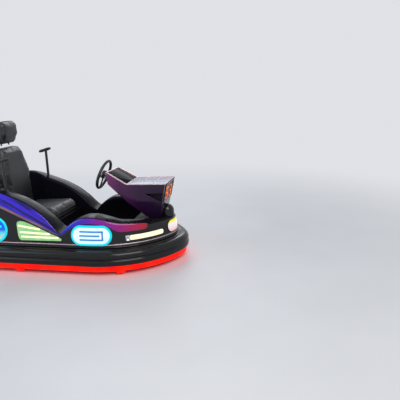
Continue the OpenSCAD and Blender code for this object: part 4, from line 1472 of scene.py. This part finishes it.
@dataclass
class Console:
    """Steering console with its plates, edge lines, screen and display.

    Args:
        beak: Tip of the beak, along and up.
        foot: Front of the neck's foot, along and up.
        kink: Foot of the windscreen panel.
        top: Rear top of the windscreen panel.
        beak_hw: Half width at the beak.
        kink_hw: Half width at the kink.
        top_hw: Half width at the rear.
        display_drop: How far the display's middle lies below the beak.
        display_size: Its width and height.
        digit_gap: Distance of a digit's middle from the display's.
        digit_hw: Half width of a digit between its strokes.
        digit_hh: Half height of a digit between its strokes.
        stroke: Size of a stroke.
        lit: Lit strokes of the left and the right digit.
    """

    beak: tuple[float, float] = (.830, .682)
    foot: tuple[float, float] = (.765, .366)
    kink: tuple[float, float] = (.488, .672)
    top: tuple[float, float] = (.320, .765)
    beak_hw: float = .175
    kink_hw: float = .162
    top_hw: float = .145
    display_drop: float = .086
    display_size: tuple[float, float] = (.264, .140)
    digit_gap: float = .060
    digit_hw: float = .031
    digit_hh: float = .048
    stroke: Point = (.052, .015, .003)
    lit: tuple[str, str] = ("acdfg", "abcdg")

    def build(self) -> None:
        """Makes the whole console."""
        shell = copy_of("console_shell", "console_moulding")
        edit(shell, lambda: bpy.ops.mesh.dissolve_limited(angle_limit=math.radians(1)))
        apply(shell, "BEVEL", width=.004, segments=3, limit_method="ANGLE", angle_limit=math.radians(25))
        smooth(shell, 30)
        # The moulding is dark violet, with painted reflection of pink light as magenta towards the rear.
        dress(shell, VIOLET_AND_PINK_REFLECTION, "console_violet", "car", "console_shell")
        for node, name, finish, slot in (("console_top_plate", "top_plate", PALE, "plate_pale"),
                                         ("windscreen_panel", "windscreen_glass", GLASS_BLACK, "screen_black")):
            plate = copy_of(node, name)
            edit(plate, lambda: bpy.ops.mesh.dissolve_limited(angle_limit=math.radians(1)))
            apply(plate, "BEVEL", width=.0015, segments=2, limit_method="ANGLE", angle_limit=math.radians(25))
            smooth(plate, 30)
            dress(plate, finish, slot, "car", node)
        self.lines()
        self.hollow()
        self.display()

    def lines(self) -> None:
        """Adds the pale edge lines of plate, screen and sides."""
        bx, bz = self.beak
        kx, kz = self.kink
        tx, tz = self.top
        b, k, t = self.beak_hw - .001, self.kink_hw - .001, self.top_hw - .001
        sided = (("plate_edge", ((bx - .002, b, bz - .001), (kx, k, kz - .0005)), .0034, TRIM, "console_violet"),
                 ("screen_edge", ((kx, k, kz), (tx + .002, t, tz - .0015)), .0062, TRIM, "console_violet"),
                 ("front_edge", ((bx - .0012, b, bz - .004), (.8127, self.beak_hw - .0012, .598)), .0030, EDGE,
                  "console_violet"),
                 ("plate_line", ((bx - .004, .060, bz), (kx + .004, .054, kz)), .0026, TRIM, "plate_pale"),
                 ("side_line", ((.334, .1478, .655), (.50, .1545, .508)), .0022, EDGE, "console_violet"))
        for name, ends, radius, finish, slot in sided:
            dress_both(rod(f"{name}_left", ends, radius), finish, slot)
        across = (("plate_front_edge", (bx - .0015, self.beak_hw - .003, bz - .001), .0034, TRIM, "console_violet"),
                  ("plate_rear_edge", (kx, self.kink_hw - .003, kz), .0034, TRIM, "console_violet"),
                  ("screen_top_edge", (tx - .012, self.top_hw - .003, tz - .0015), .0062, TRIM, "console_violet"),
                  ("plate_cross_line_1", (.716, .166, .6790), .0024, TRIM, "plate_pale"),
                  ("plate_cross_line_2", (.602, .163, .6757), .0024, TRIM, "plate_pale"))
        for name, (x, y, z), radius, finish, slot in across:
            dress(rod(name, ((x, -y, z), (x, y, z)), radius), finish, slot, "car")

    def hollow(self) -> None:
        """Puts a matt black panel in the hollow below the beak, left and right, as painted shade under the beak's
        overhang.
        """
        corners = ((.799, .605), (.648, .595), (.785, .528))
        middle = Vector((sum(x for x, _ in corners) / 3, 0, sum(z for _, z in corners) / 3))
        panel = begin(bpy.ops.mesh.primitive_cylinder_add, "hollow_lining_left", vertices=3, radius=.05, depth=.002)
        for vertex in panel.data.vertices:
            x, z = corners[round(math.atan2(vertex.co.y, vertex.co.x) / (2 * math.pi / 3)) % 3]
            vertex.co = (x, .1395 + vertex.co.z, z)
        edit(panel, outward, lambda: faces(lambda at, up: up.y > .9), lambda: inset(.006, -.0008))
        panel.data.transform(Matrix.Translation(middle * .03) @ Matrix.Diagonal((.97, 1, .97, 1)))
        dress_both(panel, HOLLOW_PAINTED_SHADE, "console_violet")

    def display(self) -> None:
        """Makes the display's frame, its glass and two plain digits."""
        run, rise = self.beak[0] - self.foot[0], self.beak[1] - self.foot[1]
        slope = math.atan2(run, rise)
        drop, (width, height) = self.display_drop, self.display_size
        middle = Vector((self.beak[0] - drop * run / rise, 0, self.beak[1] - drop))
        across, up = Vector((0, 1, 0)), Vector((math.sin(slope), 0, math.cos(slope)))
        turn = Matrix.Translation(middle) @ Matrix((across, up, across.cross(up))).transposed().to_4x4()
        glass = begin(bpy.ops.mesh.primitive_cube_add, "display_glass", size=1, location=(0, 0, .0005),
                      scale=(width - .001, height - .001, .006))
        edit(glass, lambda: faces(lambda at, way: way.z > .9), lambda: inset(.003, -.001))
        surround = begin(bpy.ops.mesh.primitive_cube_add, "display_surround", size=1, location=(0, 0, .0033),
                         scale=(width + .020, height + .018, .007))
        edit(surround, lambda: faces(lambda at, way: abs(way.z) > .9), lambda: inset(.010),
             bpy.ops.mesh.bridge_edge_loops)
        apply(surround, "BEVEL", width=.0015, segments=2, limit_method="ANGLE")
        self.digits(turn)
        for piece, finish, nodes in ((glass, DISPLAY_RED, ("score_display",)), (surround, BODY, ())):
            piece.data.transform(turn)
            smooth(piece)
            dress(piece, finish, "display_dark", "car", *nodes)

    def digits(self, turn: Matrix) -> None:
        """Makes the two digits from copies of one stroke.

        Args:
            turn: What moves a piece from the display's own axes to the frame's.
        """
        stroke = begin(bpy.ops.mesh.primitive_cube_add, "digit_stroke", size=1, location=(0, 0, .0035),
                       scale=self.stroke)
        edit(stroke, lambda: faces(lambda at, way: abs(way.x) > .9),
             lambda: bpy.ops.transform.resize(value=(1, .35, 1)), lambda: faces(lambda at, way: way.z > .9),
             lambda: inset(.002, .0008))
        places = {"a": (0, 1, 0), "d": (0, -1, 0), "g": (0, 0, 0), "f": (-1, .5, 90), "e": (-1, -.5, 90),
                  "b": (1, .5, 90), "c": (1, -.5, 90)}
        for digit, lit in zip((-1, 1), self.lit):
            for letter in lit:
                x, y, a = places[letter]
                seat = Matrix.Translation((digit * self.digit_gap + x * self.digit_hw, y * self.digit_hh - .012, 0))
                piece = twin(stroke, f"digit_{digit + 2}_{letter}",
                             turn @ (seat @ Matrix.Rotation(math.radians(a), 4, "Z")))
                smooth(piece)
                dress(piece, ORANGE_GLOW, "display_dark", "car")
        bpy.data.objects.remove(stroke)


@dataclass
class Seat:
    """Padded seat, back and headrest with their seams.

    Args:
        voxel: Size of the remesh.
        start: Size of the pad before it swells, as a share of the node's.
        pressure: Pressure of the padding's cover.
        cap: How far a point of the cover may move.
        frames: Frames that the cloth runs.
        proud: How far the pad may stand out of the node's box.
        bead: Radius of the piping.
        turns: Points round the piping.
        pads: Node and name of each pad, and distance of its piping from its face.
    """

    voxel: float = 0.006
    start: float = 0.975
    pressure: float = 4.0
    cap: float = 0.012
    frames: int = 20
    proud: float = 0.004
    bead: float = 0.0030
    turns: int = 96
    pads: tuple[tuple[str, str, float], ...] = (
        ("seat_cushion", "seat_cushion_pad", .052), ("seat_back", "seat_back_pad", .040),
        ("headrest", "headrest_pad", .038))

    def build(self) -> None:
        """Makes the pads and gives the seat's base and frame their finish."""
        paint("seat_base", BODY)
        paint("seat_frame", STEEL)
        for node, name, depth in self.pads:
            self.pad(node, name, depth)

    def pad(self, node: str, name: str, depth: float) -> None:
        """Makes one pad, blown up as a stuffed cover.

        Args:
            node: The CAD node of the pad.
            name: Name of the piece.
            depth: Distance of its piping from its face.
        """
        pad = copy_of(node, name)
        low, high = (Vector(p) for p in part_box(node))
        middle = (low + high) / 2
        for vertex in pad.data.vertices:
            vertex.co = middle + (vertex.co - middle) * self.start
        apply(pad, "REMESH", mode="VOXEL", voxel_size=self.voxel)
        self.blow(pad)
        for vertex in pad.data.vertices:
            for k in range(3):
                vertex.co[k] = min(max(vertex.co[k], low[k] - self.proud), high[k] + self.proud)
            vertex.co.z = max(vertex.co.z, low.z)
        apply(pad, "SMOOTH", factor=.5, iterations=6)
        smooth(pad, 80)
        dress(pad, VINYL, "seat_vinyl", "car", node)
        self.piping(pad, low, high, depth)

    def blow(self, pad: Piece) -> None:
        """Runs the cover's cloth and keeps each point near its start.

        Args:
            pad: The pad's mesh.
        """
        start = [v.co.copy() for v in pad.data.vertices]
        select_only(pad)
        cloth = pad.modifiers.new("cloth", "CLOTH")
        cloth.settings.use_pressure = True
        cloth.settings.uniform_pressure_force = self.pressure
        cloth.settings.effector_weights.gravity = 0
        cloth.point_cache.frame_start, cloth.point_cache.frame_end = 1, self.frames
        for step in range(1, self.frames + 1):
            bpy.context.scene.frame_set(step)
        bpy.ops.object.modifier_apply(modifier=cloth.name)
        for vertex, home in zip(pad.data.vertices, start):
            move = vertex.co - home
            if move.length > self.cap:
                vertex.co = home + move * (self.cap / move.length)

    def piping(self, pad: Piece, low: Vector, high: Vector, depth: float) -> None:
        """Runs a seam round the pad, on its surface.

        Args:
            pad: The finished pad.
            low: Lowest corner of the pad's box.
            high: Highest corner of the pad's box.
            depth: Distance of the seam from the pad's face.
        """
        lies = pad.name == "seat_cushion_pad"
        middle = (low + high) / 2
        track: list[Vector] = []
        for k in range(self.turns):
            a = 2 * math.pi * k / self.turns
            if lies:
                way = Vector((math.cos(a), math.sin(a), 0))
                origin = Vector((middle.x, middle.y, high.z - depth))
            else:
                way = Vector((0, math.cos(a), math.sin(a)))
                origin = Vector((high.x - depth, middle.y, middle.z))
            hit, at, normal, _ = pad.ray_cast(origin + way * 1.2, -way)
            if hit:
                track.append(at + normal * .0006)
        steps = len(track)

        def place(u: float, v: float) -> Point:
            """Gives a point of the seam.

            Args:
                u: Share of the way round the pad.
                v: Share of the way round the seam.

            Returns:
                The point.
            """
            k = round(u * steps) % steps
            way = (track[(k + 1) % steps] - track[k - 1]).normalized()
            flat = way.cross((track[k] - middle).normalized()).normalized()
            up = flat.cross(way)
            a = 2 * math.pi * v
            return tuple(track[k] + self.bead * (math.cos(a) * flat + math.sin(a) * up))

        seam = surface(f"{pad.name}_piping", steps, 8, place, join=True)
        smooth(seam, 60)
        dress(seam, SEAM, "seat_vinyl", "car")


@dataclass
class Steering:
    """Steering wheel with its grips, spokes and boss, and the shaft.

    Args:
        middle: Middle of the wheel.
        slope: Slope of the column above level, in degrees.
        radius: Radius of the rim's middle line.
        rim: Radius of the rim's section.
        cells: Cells round the rim.
        grip: How far the grips reach from the rim's sides.
        spoke: Size of a spoke.
        spoke_at: Distance of its middle from the wheel's.
        waist: Half length of its waist.
        boss_r: Radius of the boss.
        boss_h: Its height.
        boss_lip: Insets of its face, and their heights.
    """

    middle: Point = (.232, 0, .726)
    slope: float = 22.0
    radius: float = .127
    rim: float = .013
    cells: int = 96
    grip: float = .085
    spoke: Point = (.100, .030, .009)
    spoke_at: float = .073
    waist: float = .03
    boss_r: float = .038
    boss_h: float = .026
    boss_lip: Table = ((.008, .002), (.004, -.002), (.006, .0015))

    def placed(self, obj: Piece) -> None:
        """Moves a piece from the column's own axes to the frame's."""
        turn = Matrix.Rotation(math.radians(-90 + self.slope), 4, "Y")
        obj.data.transform(Matrix.Translation(self.middle) @ turn)

    def build(self) -> None:
        """Makes the wheel and gives its shaft its finish."""
        self.hoop()
        self.spokes()
        self.boss()
        paint("steering_shaft", ZINC)

    def hoop(self) -> None:
        """Makes the rim with its two grooved grips."""
        def gripped(at: Vector, way: Vector) -> bool:
            """Tells whether a face belongs to a grip."""
            return abs(at.x) < self.grip

        def grooved(at: Vector, way: Vector) -> bool:
            """Tells whether a face belongs to a groove of a grip."""
            return gripped(at, way) and round(math.atan2(at.x, abs(at.y)) * (self.cells // 2) / math.pi) % 4 == 0

        rim = begin(bpy.ops.mesh.primitive_torus_add, "steering_rim", major_radius=self.radius,
                    minor_radius=self.rim - .0012, major_segments=self.cells, minor_segments=24)
        edit(rim, lambda: faces(gripped), lambda: push(.0011), lambda: faces(grooved), lambda: push(-.0007))
        self.placed(rim)
        smooth(rim, 60)
        dress(rim, FOAM, "wheel_foam", "steering", "steering_wheel")

    def spokes(self) -> None:
        """Makes the three spokes from copies of one."""
        def waisted(at: Vector) -> bool:
            """Tells whether a place belongs to the waist."""
            return abs(at.x - self.spoke_at) < self.waist

        spoke = begin(bpy.ops.mesh.primitive_cube_add, "steering_spoke_1", size=1, location=(self.spoke_at, 0, -.001),
                      scale=self.spoke)
        edit(spoke, lambda: edges(lambda at, way: abs(way.x) > .9), lambda: bpy.ops.mesh.subdivide(number_cuts=3),
             lambda: edges(lambda at, way: abs(way.y) > .9 and waisted(at)),
             lambda: bpy.ops.transform.resize(value=(1, .72, 1)),
             lambda: faces(lambda at, way: way.z > .9 and waisted(at)), lambda: inset(.004, -.002))
        apply(spoke, "BEVEL", width=.0018, segments=2, limit_method="ANGLE")
        for k in range(3):
            piece = twin(spoke, f"steering_spoke_{k + 2}", Matrix.Rotation(math.radians(90 + 90 * k), 4, "Z"))
            self.placed(piece)
            smooth(piece, 40)
            dress(piece, COATED, "wheel_foam", "steering")
        bpy.data.objects.remove(spoke)

    def boss(self) -> None:
        """Makes the boss in the wheel's middle."""
        boss = begin(bpy.ops.mesh.primitive_cylinder_add, "steering_boss", vertices=48, radius=self.boss_r,
                     depth=self.boss_h, location=(0, 0, -.001))
        edit(boss, lambda: faces(lambda at, way: way.z > .9), *insets(self.boss_lip))
        apply(boss, "BEVEL", width=.0022, segments=3, limit_method="ANGLE")
        self.placed(boss)
        smooth(boss, 40)
        dress(boss, COATED, "wheel_foam", "steering")


@dataclass
class Fittings:
    """Handles, pedal, floor and running gear: the frame's own pieces with their finishes.

    Args:
        sleeve_at: Middle of the left grab handle's sleeve.
        sleeve_r: Radius of a sleeve.
        sleeve_l: Its length.
        sleeve_dip: How far it dips to the rear, in degrees.
        ribs: Ribs and grooves along it.
        finishes: Finish of each CAD node that stays.
    """

    sleeve_at: Point = (PLAN.centres[3] + .0212 - .010, .352, .898)
    sleeve_r: float = .0132
    sleeve_l: float = .092
    sleeve_dip: float = 16.0
    ribs: int = 19
    finishes: dict[str, Finish] = field(default_factory=lambda: {
        "chassis_frame": STEEL, "floor_pan": FLOOR, "battery_block": BATTERY, "rear_axle": ZINC,
        "grab_handles": COATED, "foot_pedal": COATED, "drive_fork": PAINT_GREY, "drive_motor": CAST_GREY,
        "drive_hub": ALLOY, "rear_hub_left": ALLOY, "rear_hub_right": ALLOY, "drive_tyre": TYRE,
        "rear_tyre_left": TYRE, "rear_tyre_right": TYRE})

    def build(self) -> None:
        """Gives the frame's own pieces their finishes and adds what they carry."""
        for node, finish in self.finishes.items():
            paint(node, finish)
        self.grip()

    def grip(self) -> None:
        """Adds the ribbed sleeve of the left grab handle and its mirror copy."""
        sleeve = begin(bpy.ops.mesh.primitive_cylinder_add, "grip_sleeve_left", vertices=24, radius=self.sleeve_r,
                       depth=self.sleeve_l)

        def ribbed(at: Vector, way: Vector) -> bool:
            """Tells whether a face belongs to a rib."""
            step = (at.z + self.sleeve_l / 2) / self.sleeve_l * self.ribs - .5
            return abs(way.z) < .1 and round(step) % 2 == 1

        edit(sleeve, lambda: edges(lambda at, way: abs(way.z) > .9),
             lambda: bpy.ops.mesh.subdivide(number_cuts=self.ribs - 1), lambda: faces(ribbed), lambda: push(.0012))
        apply(sleeve, "BEVEL", width=.0008, segments=2, limit_method="ANGLE")
        sleeve.data.transform(Matrix.Translation(self.sleeve_at)
                              @ Matrix.Rotation(math.radians(90 - self.sleeve_dip), 4, "Y"))
        smooth(sleeve, 60)
        dress_both(sleeve, FOAM, "handle_black")


@dataclass
class Studio:
    """Camera at the photograph's angle, soft light and a pale floor.

    Args:
        place: Place of the camera.
        yaw: Its turn to the left of +Y, in degrees.
        pitch: How far it looks down, in degrees.
        roll: Its roll, in degrees.
        focal: Focal length in picture widths.
        sensor: Width of the camera's sensor, in millimetres.
        lamps: Name, place, size, power and colour of each lamp.
        aim: What the lamps point at.
        daylight: Colour of the world's light.
        daylight_power: Its strength.
        backdrop: Colour of the backdrop.
        fade: Distances between which the floor fades into it.
    """

    place: Point = (1.683, -3.510, 1.394)
    yaw: float = 9.61
    pitch: float = 13.96
    roll: float = 1.21
    focal: float = 424 / 400
    sensor: float = 36.0
    lamps: tuple[tuple[str, Point, float, float, Point], ...] = (
        ("key_light", (2.6, -3.4, 4.2), 3.2, 150, (1, .98, .95)),
        ("fill_light", (-3.8, -2.4, 3.0), 3.0, 55, (.86, .90, 1)),
        ("back_light", (-.6, 4.2, 3.6), 3.4, 90, (.92, .94, 1)))
    aim: Point = (0, 0, .4)
    daylight: Point = (.72, .76, .84)
    daylight_power: float = .42
    backdrop: Point = (.74, .755, .79)
    fade: tuple[float, float] = (1.6, 5.5)

    def build(self) -> None:
        """Makes camera, lights and floor."""
        self.camera()
        self.sky()
        self.lights()
        self.floor()
        bpy.context.scene.view_settings.view_transform = "Standard"

    def camera(self) -> None:
        """Places the camera at the photograph's angle."""
        yaw, pitch, roll = (math.radians(v) for v in (self.yaw, self.pitch, self.roll))
        ahead = Vector((-math.sin(yaw) * math.cos(pitch), math.cos(yaw) * math.cos(pitch), -math.sin(pitch)))
        right = Vector((math.cos(yaw), math.sin(yaw), 0))
        up = right.cross(ahead)
        image_right = right * math.cos(roll) - up * math.sin(roll)
        image_up = right * math.sin(roll) + up * math.cos(roll)
        data = bpy.data.cameras.new("view_camera")
        data.sensor_width = self.sensor
        data.lens = self.focal * self.sensor
        camera = bpy.data.objects.new("view_camera", data)
        bpy.context.scene.collection.objects.link(camera)
        camera.matrix_world = Matrix.Translation(self.place) @ Matrix(
            (image_right, image_up, -ahead)).transposed().to_4x4()
        bpy.context.scene.camera = camera

    def lights(self) -> None:
        """Hangs the square lamps round the car."""
        for name, spot, size, power, tint in self.lamps:
            lamp = bpy.data.lights.new(name, "AREA")
            lamp.shape, lamp.size, lamp.energy, lamp.color = "SQUARE", size, power, tint
            holder = bpy.data.objects.new(name, lamp)
            bpy.context.scene.collection.objects.link(holder)
            holder.location = spot
            holder.rotation_euler = (Vector(self.aim) - Vector(spot)).to_track_quat("-Z", "Y").to_euler()

    def floor(self) -> None:
        """Lays the pale floor, which fades into the backdrop with the distance from the car."""
        bpy.ops.object.select_all(action="DESELECT")
        bpy.ops.mesh.primitive_plane_add(size=40)
        floor = bpy.context.object
        floor.name = floor.data.name = "studio_floor"
        made = STUDIO.material()
        floor.data.materials.append(made)
        tree = made.node_tree
        coords = grow(tree, "TexCoord", {}).outputs["Object"]
        away = grow(tree, "VectorMath", {0: coords}, operation="LENGTH").outputs["Value"]
        near, far = self.fade
        share = grow(tree, "MapRange", {"Value": away, "From Min": near, "From Max": far},
                     interpolation_type="SMOOTHSTEP").outputs["Result"]
        both = grow(tree, "Math", {0: share, 1: self.looked_at(tree)}, operation="MULTIPLY")
        haze = grow(tree, "Emission", {"Color": (*self.backdrop, 1)})
        mix = grow(tree, "MixShader", {"Fac": both.outputs[0], 1: tree.nodes["Principled BSDF"].outputs[0],
                                       2: haze.outputs[0]})
        feed(tree, tree.nodes["Material Output"], {"Surface": mix.outputs[0]})

    def looked_at(self, tree: Tree) -> Socket:
        """Adds the test for rays that show a surface: camera, glossy or transmission rays.

        Args:
            tree: The node tree.

        Returns:
            The socket that is 1 for such a ray.
        """
        rays = grow(tree, "LightPath", {})
        shown = rays.outputs["Is Camera Ray"]
        for kind in ("Is Glossy Ray", "Is Transmission Ray"):
            shown = grow(tree, "Math", {0: shown, 1: rays.outputs[kind]}, operation="MAXIMUM").outputs[0]
        return shown

    def sky(self) -> None:
        """Gives the world its soft light, and a pale backdrop where it is seen or mirrored."""
        world = bpy.data.worlds.new("soft_world")
        bpy.context.scene.world = world
        world.use_nodes = True
        tree = world.node_tree
        light = tree.nodes["Background"]
        feed(tree, light, {"Color": (*self.daylight, 1), "Strength": self.daylight_power})
        seen = grow(tree, "Background", {"Color": (*self.backdrop, 1)})
        mix = grow(tree, "MixShader", {"Fac": self.looked_at(tree), 1: light.outputs[0], 2: seen.outputs[0]})
        feed(tree, tree.nodes["World Output"], {"Surface": mix.outputs[0]})


def main() -> None:
    """Builds the whole scene."""
    logging.basicConfig(level=logging.INFO, format="%(message)s")
    for part in (Studio(), BumperRing(), BodyShell(), Fender(), Lamps(), Console(), Seat(), Steering(), Fittings()):
        part.build()


if __name__ == "__main__":
    main()
